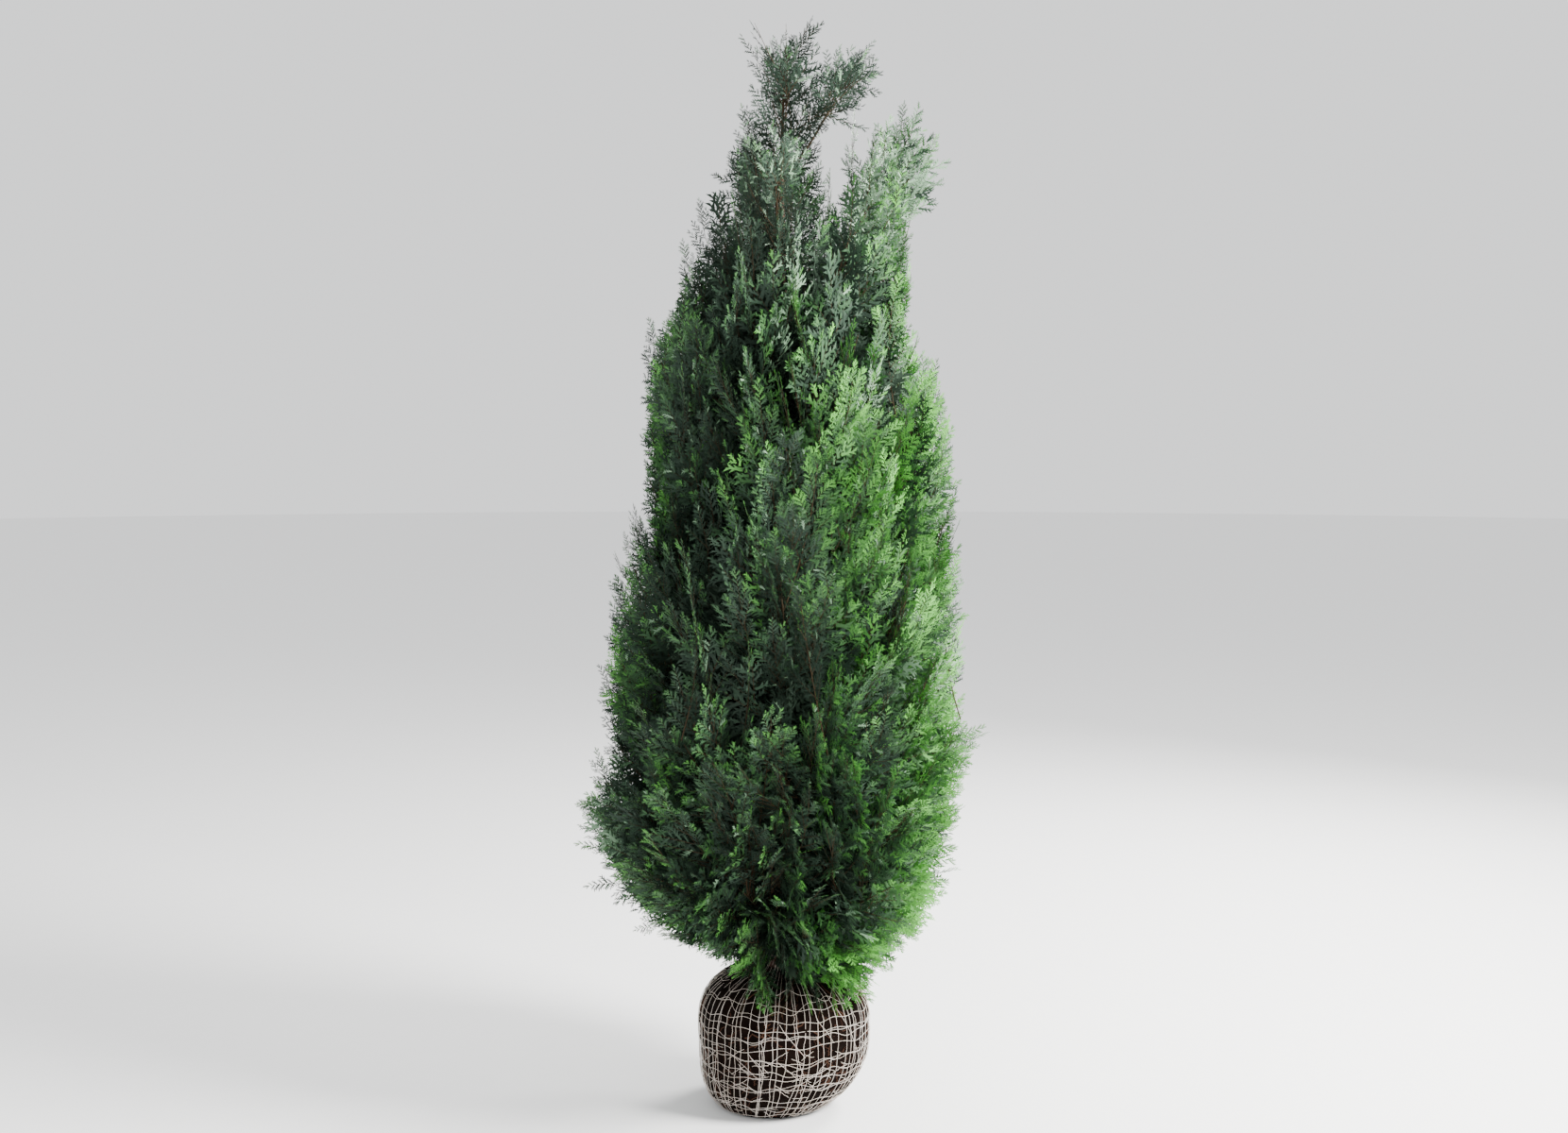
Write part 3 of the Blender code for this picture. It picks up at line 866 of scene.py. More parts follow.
@dataclass(frozen=True)
class Apron:
    """The sprays that hang over the ball's front right."""

    count: int = 17
    turns_deg: tuple[float, float] = (-122.0, 22.0)
    turn_play_deg: float = 6.0
    reach: tuple[float, float] = (0.165, 0.215)
    heights: tuple[float, float] = (0.218, 0.285)

    def targets(self, draw: np.random.Generator) -> np.ndarray:
        """Where their tips are.

        Args:
            draw: the seeded draw.

        Returns:
            Rows of x, y, z and the turn about the upright axis.
        """
        play = draw.uniform(-self.turn_play_deg, self.turn_play_deg, self.count)
        turn = np.radians(np.linspace(*self.turns_deg, self.count) + play)
        out = draw.uniform(*self.reach, self.count)
        z = draw.uniform(*self.heights, self.count)
        return np.stack([out * np.cos(turn), out * np.sin(turn), z, turn], axis=1)


@dataclass(frozen=True)
class Tongues:
    """The tall tongues that the crown is made of, with gaps between them.

    Attributes:
        scale: how many there are in a metre, level and upright.
        relief: how far they stand out, as a share of the crown's radius.
        gap_below: where the field is lower than this, the outermost rows are left out.
        gap_share: rows that lie further out than this share of the outline are outermost.
    """

    scale: tuple[float, float] = (7.0, 2.8)
    part: Triple = (33.8, 42.5, 46.2)
    relief: float = 0.10
    gap_below: float = -0.28
    gap_share: float = 0.9

    def field(self, points: np.ndarray) -> np.ndarray:
        """A smooth field over the crown that is high where a tongue of it stands out.

        Args:
            points: where it is wanted.

        Returns:
            One number for each point, from about -0.7 to 0.7.
        """
        wide, tall = self.scale
        scaled = points * np.array([wide, wide, tall]) + np.array(self.part)
        return np.array([noise.noise(Vector(point)) for point in scaled])


@dataclass(frozen=True)
class Colouring:
    """How bright foliage is from place to place, partly at random and partly as painted light and shade,
    and where some of it is glaucous.

    Attributes:
        usual: the brightness that the others add to or take from.
        plume_play: how much plumes differ.
        spray_play: how much the sprays of one plume differ.
        branchlet_play: how much the branchlets of one spray differ.
        tongue_painted_light: the painted light that a tongue standing out gets, which leaves the gaps
            between tongues duller.
        side: places from left to right, and the painted light that they add: lower to the left, higher to
            the right.
        skirt: heights low down, and the painted light that they add there, as if lit from the floor.
        upper: the height from which the crown's upper part gets painted light, and how far up that grows.
        upper_side: the painted light that part has all over, and how far to the left it fades.
        upper_middle: the painted highlight that its middle has besides, where that is, and how wide.
        dull: the height from which the top is duller, how far up that grows, and how fast.
        crest_loss: what the crest loses besides.
        crest_edge: how far to the right the crest goes, and how wide its edge is.
        leader: the height from which all is crest, and how soon.
        crest_rise: how soon the crest starts.
        along_plume: how much brighter a plume's tip is than its foot.
        along_spray: how much brighter a spray's tip is than its root.
        spray_middle: the share of a spray that has the spray's own brightness.
        glaucous_highlight_from: the height where glaucous plumes, partly a painted highlight, get common,
            and how soon.
        glaucous_middle: where they are most common from left to right, and how wide that is.
        glaucous_odds: the odds of a glaucous plume everywhere, and what is added there.
        glaucous_shares: how much of a glaucous plume is glaucous, and how much of any other.
        steps: the brightness at which one tone gives way to the next.
    """

    usual: float = 0.365
    plume_play: float = 0.16
    spray_play: float = 0.07
    branchlet_play: float = 0.085
    # Painted light: tongues that stand out are dealt lighter greens than the gaps between them.
    tongue_painted_light: float = 0.30
    # Painted light: foliage is dealt duller greens on the left and lighter ones on the right, where the
    # lamp is.
    side: Curve = ((-0.32, 0.03, 0.16, 0.36), (-0.15, -0.12, 0.13, 0.26))
    # Painted light: low foliage is dealt lighter greens.
    skirt: Curve = ((0.28, 0.36, 0.50, 0.70), (0.32, 0.22, 0.03, -0.02))
    # Painted light and highlight: the upper crown is dealt lighter greens, most in its middle, fading out
    # to the left.
    upper: tuple[float, float] = (0.9, 0.55)
    upper_side: tuple[float, float] = (0.08, 0.15)
    upper_middle: tuple[float, float, float] = (0.28, 0.02, 0.11)
    dull: tuple[float, float, float] = (1.66, 0.3, 0.40)
    crest_loss: float = 0.28
    crest_edge: tuple[float, float] = (0.12, 0.08)
    leader: tuple[float, float] = (1.97, 0.04)
    crest_rise: float = 0.10
    along_plume: float = 0.36
    along_spray: float = 0.54
    spray_middle: float = 0.55
    # Painted highlight: besides the real bloom everywhere, glaucous plumes are dealt most high in the
    # crown's middle.
    glaucous_highlight_from: tuple[float, float] = (1.15, 0.2)
    glaucous_middle: tuple[float, float] = (0.05, 0.11)
    glaucous_odds: tuple[float, float] = (0.05, 0.13)
    glaucous_shares: tuple[float, float] = (0.60, 0.015)
    steps: tuple[float, ...] = (0.23, 0.36, 0.50, 0.66, 0.83)
    tones: tuple[Tone, ...] = (Tone.DUSK, Tone.BLUE, Tone.DEEP, Tone.LEAF, Tone.LIGHT, Tone.FRESH)

    def sunny_side(self, points: np.ndarray) -> np.ndarray:
        """How much painted light brightens foliage towards the right, low down and high in the middle, and
        how much duller it is at the leader.

        Args:
            points: where it grows.

        Returns:
            What the place adds to its brightness.
        """
        across, height = points[:, 0], points[:, 2]
        start, span = self.upper
        gain, fade = self.upper_side
        middle_gain, place, width = self.upper_middle
        shape = gain * np.clip(1.0 + across / fade, 0.0, 1.0)
        shape = shape + middle_gain * np.exp(-(((across - place) / width) ** 2))
        dull_from, dull_span, dull_slope = self.dull
        upper = np.clip(height - start, 0.0, span) * shape
        upper = upper - dull_slope * np.clip(height - dull_from, 0.0, dull_span)
        edge, soft = self.crest_edge
        leader_from, leader_rise = self.leader
        beside = np.clip((edge - across) / soft, 0.0, 1.0)
        above = np.clip((height - leader_from) / leader_rise, 0.0, 1.0)
        crest = np.clip((height - dull_from) / self.crest_rise, 0.0, 1.0) * np.maximum(beside, above)
        low = np.interp(height, *self.skirt)
        return np.interp(across, *self.side) + upper - self.crest_loss * crest + low

    def glaucous(self, points: np.ndarray, luck: np.ndarray) -> np.ndarray:
        """Deals plumes the share of their branchlets that is glaucous: real bloom, with more of it high in
        the middle as a painted highlight.

        Args:
            points: the plumes' tips.
            luck: a number from nought to one for each.

        Returns:
            The share for each plume.
        """
        start, rise = self.glaucous_highlight_from
        place, width = self.glaucous_middle
        odds, extra = self.glaucous_odds
        high = np.clip((points[:, 2] - start) / rise, 0.0, 1.0)
        high = high * np.exp(-(((points[:, 0] - place) / width) ** 2))
        return np.where(luck < odds + extra * high, *self.glaucous_shares)

    def dealt(self, bright: np.ndarray, odd: np.ndarray) -> dict[Tone, np.ndarray]:
        """Sorts branchlets by tone.

        Args:
            bright: how bright each is.
            odd: whether it is glaucous.

        Returns:
            The numbers of the branchlets that each tone gets.
        """
        bins = np.digitize(bright, self.steps)
        sorted_out = {tone: np.flatnonzero((bins == i) & ~odd) for i, tone in enumerate(self.tones)}
        sorted_out[Tone.SILVER] = np.flatnonzero(odd)
        return sorted_out


@dataclass(frozen=True)
class PlumeHabit:
    """How plumes stand in the crown.

    Attributes:
        lifts_deg: heights, and how steeply plumes end there: drooping at the skirt, almost upright on top.
        lift_play: how much plumes differ from that, in radians.
        frontal: the share of plumes that face outwards, and how far those are rolled, in radians.
        radial: the share of plumes that stand edge on, and how far those are rolled, in radians.
        knee_share: how far back from its tip a plume bends, as a share of its length.
        low_growth: heights, and how much longer sprays are there.
        stem_share: the share of a mass's stem that plumes may leave.
        trunk_start: the height from which they may leave the trunk.
        row_play: how far tips stray in their row: along it and up or down, as shares of the gaps.
        depth_play: the least and the greatest share of their distance from the middle.
    """

    lifts_deg: Curve = (
        (0.24, 0.34, 0.44, 0.60, 0.90, 1.30, 1.80), (-38.0, -4.0, 26.0, 48.0, 64.0, 72.0, 80.0),
    )
    lift_play: float = 0.08
    side_play: float = 0.13
    frontal: tuple[float, float] = (0.25, 0.40)
    radial: tuple[float, float] = (0.48, 0.35)
    facing_up: float = 0.2
    length_play: tuple[float, float] = (0.8, 1.15)
    knee_share: float = 0.55
    low_growth: Curve = ((0.36, 0.75), (1.34, 1.0))
    stem_share: float = 0.85
    trunk_start: float = 0.33
    row_play: tuple[float, float] = (0.3, 0.5)
    depth_play: tuple[float, float] = (0.91, 1.01)
    fewest: int = 5

    def lift(self, height: np.ndarray) -> np.ndarray:
        """How steeply plumes end at these heights, in radians."""
        return np.radians(np.interp(height, *self.lifts_deg))

    def rolls(self, draw: np.random.Generator, count: int) -> np.ndarray:
        """Deals plumes their turns about their own stems.

        Args:
            draw: the seeded draw.
            count: how many plumes.

        Returns:
            One turn for each, in radians.
        """
        kind = draw.uniform(0.0, 1.0, count)
        roll = draw.uniform(-math.pi / 2, math.pi / 2, count)
        share, play = self.radial
        roll = np.where(kind > 1.0 - share, math.pi / 2 + draw.normal(0.0, play, count), roll)
        share, play = self.frontal
        return np.where(kind < share, draw.normal(0.0, play, count), roll)


@dataclass(frozen=True)
class TipHabit:
    """How the separate tips differ from the other plumes.

    Attributes:
        glaucous_beyond: how far to the right the glaucous ones start.
        glaucous_shares: how glaucous those are, how glaucous the others, and the leader's.
        spray_gains: how much longer sprays are on the leader, and on the other tips.
        dullness: what tips lose in brightness.
    """

    stray: float = 0.10
    roll_play: float = 0.7
    glaucous_beyond: float = 0.16
    glaucous_shares: Triple = (0.35, 0.06, 0.04)
    spray_gains: tuple[float, float] = (1.35, 1.12)
    dullness: float = 0.18


@dataclass(frozen=True)
class SpireHabit:
    """How a slender mass is furnished with side plumes.

    Attributes:
        stretch: the shares of its stem where side plumes start and over which they follow.
        bow_drop: how far the stem's bend sags, as a share of its bow.
        steps: into how many parts the stem is divided.
        opening_deg: the angle between stem and side plume, what it loses up the stem, and its play.
        upturn: how far side plumes point upwards at first, and at their tips.
        taper: how long the lowest ones are, and what they lose up the stem, as shares.
    """

    stretch: tuple[float, float] = (0.04, 0.80)
    bow_drop: float = 0.8
    steps: int = 200
    opening_deg: Triple = (46.0, 16.0, 5.0)
    upturn: tuple[float, float] = (0.22, 0.25)
    taper: tuple[float, float] = (1.25, 0.75)
    length_play: tuple[float, float] = (0.8, 1.15)
    clearance: float = 0.008
    knee_share: float = 0.5
    roll_play: float = 1.0
    bright_play: float = 0.12


@dataclass(frozen=True)
class SprayHabit:
    """How flat sprays stand on a plume.

    Attributes:
        envelope: shares of the stem, and how long sprays are there.
        nod: heights, and how far sprays nod downwards (below nought) or turn up there.
        shortening: how much a spray that stands out too far is shortened, and how many times at most.
        spare_share: how far out it may still be then, added to the share of the outline.
        skin_gap: how far sprays keep from the ball.
        lid_gap: how far those over the ball keep above its top.
        lid_edge: how far below its top the ball's skin is measured.
        rib: how thick a rib is at its root and near its tip, as shares of the spray's length.
        rib_share: how far along the spray the rib goes.
    """

    opening_play: float = 0.08
    envelope: Curve = ((0.0, 0.25, 0.6, 1.0), (0.60, 1.0, 0.86, 0.46))
    tip_length: float = 0.72
    length_play: tuple[float, float] = (0.72, 1.24)
    nod: Curve = ((0.55, 1.15), (-0.90, 0.35))
    nod_play: float = 0.25
    curl: tuple[float, float] = (0.08, 0.34)
    shortening: tuple[float, int] = (0.72, 3)
    spare_share: float = 0.06
    skin_gap: float = 0.004
    lid_gap: float = 0.006
    lid_edge: float = 0.001
    rib: tuple[float, float] = (0.011, 0.004)
    rib_share: float = 0.92


@dataclass(frozen=True)
class BranchletHabit:
    """How branchlets stand on a spray, and what their outline is.

    Attributes:
        stretch: the shares of the rib where they start and over which they follow.
        tip_place: the share of the rib where the one at its tip starts.
        opening_deg: the angle between rib and branchlet at its root, and what it loses towards its tip.
        looseness: how far branchlets leave the spray's plane, in radians.
        swell: where in half a turn of a sine their lengths start, and how much of it they follow.
        tooth_places: where along a branchlet its teeth start, and over what length.
        tooth_swell: like swell, for the teeth's widths.
        tooth_advance: how far forwards teeth point.
        cupping: how far a branchlet is bent up along its length, and down at its edges.
    """

    stretch: tuple[float, float] = (0.08, 0.90)
    tip_place: float = 0.97
    opening_deg: tuple[float, float] = (54.0, 24.0)
    opening_play: float = 0.15
    looseness: float = 0.16
    swell: tuple[float, float] = (0.16, 0.70)
    tip_length: float = 0.54
    size_play: tuple[float, float] = (0.68, 1.28)
    tooth_places: tuple[float, float] = (0.08, 0.70)
    tooth_swell: tuple[float, float] = (0.30, 0.50)
    tooth_advance: float = 0.16
    cupping: tuple[float, float] = (0.10, 0.9)

    def outline(self, growth: Growth) -> tuple[np.ndarray, np.ndarray]:
        """One flat branchlet a unit long: a slender spine with slim teeth by turns on either side.

        Args:
            growth: the kind of plume that it belongs to.

        Returns:
            Its points, and its triangles.
        """
        points = [(0.0, growth.spine, 0.0), (0.0, -growth.spine, 0.0), (1.0, 0.0, 0.0)]
        count = 2 * growth.teeth
        base = growth.tooth_base / growth.teeth
        for i in range(count):
            foot = self.tooth_places[0] + self.tooth_places[1] * i / count
            hand = 1.0 if i % 2 else -1.0
            swell = math.sin(math.pi * (self.tooth_swell[0] + self.tooth_swell[1] * i / count))
            wide = growth.tooth_width * swell
            point = (foot + base + self.tooth_advance, hand * wide, 0.0)
            tooth = [(foot, 0.0, 0.0), (foot + base, 0.0, 0.0), point]
            points += tooth if hand > 0 else [tooth[1], tooth[0], tooth[2]]
        return np.array(points), np.arange(len(points)).reshape(-1, 3)


@dataclass
class Foliage:
    """The whole crown's plumes, sprays and branchlets, joined by tone, with the twigs that carry them."""

    rule: CrownRule
    masses: list[Mass]
    nodes: list[str]
    ball: BallShape
    outline: CrownOutline = CrownOutline()
    apron: Apron = Apron()
    tongues: Tongues = Tongues()
    colouring: Colouring = Colouring()
    plume: PlumeHabit = PlumeHabit()
    tip: TipHabit = TipHabit()
    spire: SpireHabit = SpireHabit()
    spray: SprayHabit = SprayHabit()
    branchlet: BranchletHabit = BranchletHabit()
    seed: int = 21
    leader_height: float = 2.0
    # Painted shade: the filling sprays inside the outer plumes are dealt duller greens.
    filling_painted_shade: float = 0.06
    stem_radius: float = 0.0013
    stem_end_share: float = 0.28
    stem_steps: int = 8
    stem_sides: int = 4
    rib_sides: int = 3
    top_tips: tuple[Tip, ...] = (
        Tip(-0.058, 0.000, 2.166, -24, 0.13, 0.040), Tip(0.050, 0.000, 2.164, 26, 0.12, 0.038),
        Tip(-0.006, 0.006, 2.135, 2, 0.12, 0.034), Tip(-0.056, -0.012, 2.095, -34, 0.11, 0.034),
        Tip(0.020, -0.016, 2.080, 10, 0.12, 0.036), Tip(-0.032, 0.020, 2.055, -14, 0.13, 0.036),
        Tip(0.150, 0.004, 2.096, 40, 0.13, 0.040), Tip(0.156, -0.012, 2.058, 54, 0.12, 0.038),
        Tip(0.130, 0.016, 2.026, 60, 0.10, 0.032), Tip(0.098, -0.006, 2.090, 26, 0.10, 0.032),
        Tip(-0.038, 0.004, 2.000, -8, 0.15, 0.040), Tip(-0.068, -0.006, 1.955, -8, 0.18, 0.042),
        Tip(-0.054, 0.030, 1.925, -8, 0.17, 0.042), Tip(-0.072, -0.045, 1.890, -6, 0.20, 0.042),
        Tip(-0.088, 0.000, 1.868, -8, 0.18, 0.040), Tip(0.137, 0.010, 1.952, 4, 0.20, 0.048),
        Tip(0.232, 0.000, 1.968, 8, 0.22, 0.044), Tip(0.290, -0.006, 1.925, 30, 0.17, 0.030),
        Tip(0.198, -0.035, 1.930, 6, 0.22, 0.050), Tip(0.240, 0.030, 1.880, 14, 0.20, 0.046),
        Tip(0.178, 0.045, 1.900, 6, 0.22, 0.050), Tip(0.163, -0.060, 1.860, 5, 0.22, 0.054),
        Tip(0.225, -0.055, 1.840, 12, 0.22, 0.054), Tip(0.255, 0.010, 1.805, 12, 0.20, 0.046),
    )
    side_tips: tuple[Tip, ...] = (
        Tip(-0.162, -0.010, 1.780, -10, 0.20, 0.046), Tip(-0.192, 0.000, 1.695, -10, 0.20, 0.048),
        Tip(-0.258, -0.020, 1.540, -10, 0.20, 0.048), Tip(-0.293, -0.020, 1.185, -14, 0.22, 0.054),
        Tip(-0.326, -0.030, 1.035, -16, 0.20, 0.054), Tip(-0.348, -0.020, 0.850, -22, 0.20, 0.054),
        Tip(-0.366, -0.030, 0.602, -56, 0.20, 0.054), Tip(-0.350, -0.060, 0.530, -72, 0.20, 0.054),
        Tip(-0.334, -0.050, 0.462, -88, 0.20, 0.054), Tip(-0.262, -0.060, 0.375, -98, 0.18, 0.052),
        Tip(0.360, -0.040, 0.742, 62, 0.20, 0.064), Tip(0.346, -0.080, 0.765, 54, 0.20, 0.060),
        Tip(0.294, -0.060, 0.480, 66, 0.20, 0.054), Tip(0.318, -0.020, 1.300, 12, 0.22, 0.054),
        Tip(0.290, -0.030, 1.455, 12, 0.20, 0.052), Tip(0.332, -0.030, 1.050, 16, 0.20, 0.054),
    )
    main: Layer = Layer((Rows(0.31, 1.64, 0.080, 1.0, 0.090),), 0.27, 0.074, Growth(
        sprays=19, bare=0.14, opening_deg=(50.0, 28.0), branchlets=12, branchlet_share=0.34, teeth=3,
        looseness=0.18, spine=0.090, tooth_width=0.250, tooth_base=0.62,
    ))
    top: Layer = Layer((Rows(1.66, 1.88, 0.062, 1.0, 0.085),), 0.25, 0.060, Growth(
        sprays=17, bare=0.12, opening_deg=(42.0, 24.0), branchlets=10, branchlet_share=0.38, teeth=3,
        looseness=0.20, spine=0.085, tooth_width=0.240, tooth_base=0.58,
    ))
    filling: Layer = Layer((
        Rows(0.44, 1.77, 0.110, 0.85, 0.13), Rows(0.50, 1.70, 0.120, 0.93, 0.16),
    ), 0.22, 0.09, Growth(
        sprays=11, bare=0.10, opening_deg=(48.0, 28.0), branchlets=9, branchlet_share=0.46, teeth=2,
        looseness=0.30, spine=0.110, tooth_width=0.270, tooth_base=0.64, reach_share=0.95,
    ))
    deep: Layer = Layer((
        Rows(0.42, 1.50, 0.120, 0.60, 0.13), Rows(0.36, 0.56, 0.06, 0.32, 0.06),
        Rows(1.50, 1.62, 0.060, 0.45, 0.10),
    ), 0.20, 0.13, Growth(
        sprays=13, bare=0.10, opening_deg=(50.0, 30.0), branchlets=9, branchlet_share=0.50, teeth=2,
        looseness=0.40, spine=0.130, tooth_width=0.270, tooth_base=0.66, reach_share=0.74,
    ))
    core_rows: tuple[Rows, ...] = (Rows(0.58, 1.46, 0.110, 0.36, 0.10),)
    crest: Growth = Growth(
        sprays=6, bare=0.08, opening_deg=(46.0, 28.0), branchlets=10, branchlet_share=0.38, teeth=3,
        looseness=0.16, spine=0.095, tooth_width=0.240, tooth_base=0.58,
    )
    edge: Growth = Growth(
        sprays=13, bare=0.10, opening_deg=(46.0, 26.0), branchlets=11, branchlet_share=0.36, teeth=3,
        looseness=0.18, spine=0.092, tooth_width=0.245, tooth_base=0.60, reach_share=1.35,
    )

    def __post_init__(self) -> None:
        """Seeds the draw that every plume and spray is dealt from."""
        self.draw = np.random.default_rng(self.seed)

    def targets(self, all_rows: tuple[Rows, ...]) -> np.ndarray:
        """Plume tips spread evenly round the crown.

        Args:
            all_rows: the rows that they stand in.

        Returns:
            Rows of x, y, z and the turn about the upright axis.
        """
        draw, habit, found = self.draw, self.plume, []
        along, upwards = habit.row_play
        for rows in all_rows:
            heights = np.arange(rows.lowest, rows.below, rows.step)
            row_gap = heights[1] - heights[0]
            for row, height in enumerate(heights):
                radius = float(self.outline.reach(height)[0]) * rows.share
                count = max(habit.fewest, round(math.tau * radius / rows.gap))
                turn = (np.arange(count) + 0.5 * (row % 2)) * (math.tau / count)
                turn = turn + draw.uniform(-along, along, count) * rows.gap / radius
                z = height + draw.uniform(-upwards, upwards, count) * row_gap
                far, middle = self.outline.reach(z)
                out = far * rows.share * draw.uniform(*habit.depth_play, count)
                place = np.stack([middle + out * np.cos(turn), out * np.sin(turn), z], axis=1)
                tongue = self.tongues.field(place)
                out = out * (1.0 + self.tongues.relief * tongue)
                some = np.stack([middle + out * np.cos(turn), out * np.sin(turn), z, turn], axis=1)
                outermost = rows.share > self.tongues.gap_share
                found.append(some[tongue > self.tongues.gap_below] if outermost else some)
        return np.concatenate(found)

    def plumes_to(self, targets: np.ndarray, layer: Layer) -> Plumes:
        """Plumes that rise outwards to targets on the outline.

        Args:
            targets: rows of x, y, z and turn.
            layer: the layer that they belong to.

        Returns:
            The plumes.
        """
        draw, habit, count = self.draw, self.plume, len(targets)
        end, turn = targets[:, :3], targets[:, 3]
        outward = np.stack([np.cos(turn), np.sin(turn), 0 * turn], axis=-1)
        side = np.stack([-np.sin(turn), np.cos(turn), 0 * turn], axis=-1)
        lift = habit.lift(end[:, 2]) + draw.normal(0.0, habit.lift_play, count)
        direction = outward * np.cos(lift)[:, None] + UP * np.sin(lift)[:, None]
        direction = unit(direction + side * draw.normal(0.0, habit.side_play, (count, 1)))
        roll = habit.rolls(draw, count)
        glaucous = self.colouring.glaucous(end, draw.uniform(0.0, 1.0, count))
        length = layer.plume_length * draw.uniform(*habit.length_play, count)
        spray = layer.spray_length * np.interp(end[:, 2], *habit.low_growth)
        return self.plumes(end, direction, length, outward + habit.facing_up * UP, roll, spray, glaucous)

    def plumes(
        self, end: np.ndarray, direction: np.ndarray, length: np.ndarray, facing: np.ndarray,
        roll: np.ndarray, spray: np.ndarray, glaucous: np.ndarray,
    ) -> Plumes:
        """Plumes that leave the nearest stem and end at given tips.

        Args:
            end: their tips.
            direction: the way each tip points.
            length: how long each is.
            facing: the way each flat plume would face, before its roll.
            roll: how far each is rolled about its stem, in radians.
            spray: how long each plume's sprays are.
            glaucous: the share of each plume's branchlets that are glaucous.

        Returns:
            The plumes.
        """
        start = self.nearest_stem(end - direction * length[:, None])
        knee = end - direction * (length * self.plume.knee_share)[:, None]
        normal = rolled(square_to(facing, direction), direction, roll)
        rule = self.colouring
        bright = rule.usual + rule.plume_play * self.draw.standard_normal(len(end))
        # Painted light: standing-out tongues and the right, low and upper middle places get lighter greens.
        bright = bright + rule.tongue_painted_light * self.tongues.field(end) + rule.sunny_side(end)
        return Plumes(start, knee, end, normal, spray, bright, glaucous)

    def separate_tips(self, some_tips: list[Tip]) -> Plumes:
        """The plumes that end in separate tips.

        Args:
            some_tips: the tips.

        Returns:
            The plumes.
        """
        habit, tips = self.tip, np.array(some_tips)
        lean = np.radians(tips[:, 3])
        stray = self.draw.normal(0, habit.stray, len(lean))
        direction = np.stack([np.sin(lean), stray, np.cos(lean)], axis=-1)
        roll = self.draw.normal(0.0, habit.roll_play, len(tips))
        facing = np.tile(FRONT, (len(tips), 1))
        right, elsewhere, leader = habit.glaucous_shares
        glaucous = np.where(tips[:, 0] > habit.glaucous_beyond, right, elsewhere)
        glaucous[tips[:, 2] > self.leader_height] = leader
        spray = tips[:, 5] * np.where(tips[:, 2] > self.leader_height, *habit.spray_gains)
        plumes = self.plumes(tips[:, :3], unit(direction), tips[:, 4], facing, roll, spray, glaucous)
        plumes.brightness -= habit.dullness
        return plumes

    def nearest_stem(self, wanted: np.ndarray) -> np.ndarray:
        """Finds where plumes leave the trunk or a mass's stem.

        Args:
            wanted: where they would start.

        Returns:
            The nearest point to each on any of them.
        """
        trunk = self.rule.trunk
        lines = [(mass.base, mass.tip, self.plume.stem_share) for mass in self.masses]
        lines.append((trunk.centre(self.plume.trunk_start), trunk.centre(trunk.top), 1.0))
        best, found = np.full(len(wanted), np.inf), wanted.copy()
        for base, tip, last in lines:
            line = tip - base
            share = np.clip((wanted - base) @ line / (line @ line), 0.0, last)
            point = base + share[:, None] * line
            far = np.linalg.norm(point - wanted, axis=1)
            closer = far < best
            best[closer], found[closer] = far[closer], point[closer]
        return found

    def spire_plumes(self, mass: Mass) -> Plumes:
        """A slender mass's own tip and its side plumes, which climb its stem round and round.

        Args:
            mass: the slender mass.

        Returns:
            The plumes, the tip last.
        """
        draw, habit, spire = self.draw, self.spire, mass.spire
        base = self.rule.trunk.centre(spire.foot)
        count = spire.side_plumes
        share = habit.stretch[0] + habit.stretch[1] * (np.arange(count) + 0.5) / count
        knee = (base + mass.tip) / 2 + mass.out * spire.bow - UP * spire.bow * habit.bow_drop
        stem = bend(base[None], knee[None], mass.tip[None], habit.steps + 1)[0]
        start = stem[np.round(share * habit.steps).astype(int)]
        along = unit((knee - base) * (1 - share)[:, None] + (mass.tip - knee) * share[:, None])
        turn = np.arange(count) * GOLDEN_TURN + draw.uniform(0, math.tau)
        side = unit(np.cross(along, -FRONT))
        away = side * np.cos(turn)[:, None] + np.cross(side, along) * np.sin(turn)[:, None]
        widest, lost, play = habit.opening_deg
        opening = np.radians(widest - lost * share + draw.normal(0, play, count))
        direction = along * np.cos(opening)[:, None] + away * np.sin(opening)[:, None]
        direction = unit(direction + UP * habit.upturn[0])
        taper = habit.taper[0] - habit.taper[1] * share
        length = spire.side_length * taper * draw.uniform(*habit.length_play, count)
        end = start + direction * length[:, None]
        end[:, 2] = np.minimum(end[:, 2], self.rule.top - habit.clearance)
        direction = unit(direction + UP * habit.upturn[1])
        # The mass's own tip leaves the stem two thirds of the way along the side plumes.
        start = np.vstack([start, start[count * 2 // 3]])
        end = np.vstack([end, mass.tip])
        direction = np.vstack([direction, along[-1]])
        knee = end - direction * (np.linalg.norm(end - start, axis=1) * habit.knee_share)[:, None]
        roll = draw.uniform(-habit.roll_play, habit.roll_play, count + 1)
        normal = rolled(square_to(FRONT, direction), direction, roll)
        bright = spire.freshness + habit.bright_play * draw.standard_normal(count + 1)
        # Painted light by place, as for the other plumes.
        bright = bright + self.colouring.sunny_side(end)
        glaucous = np.full(count + 1, spire.glaucous)
        return Plumes(start, knee, end, normal, np.full(count + 1, spire.spray_length), bright, glaucous)

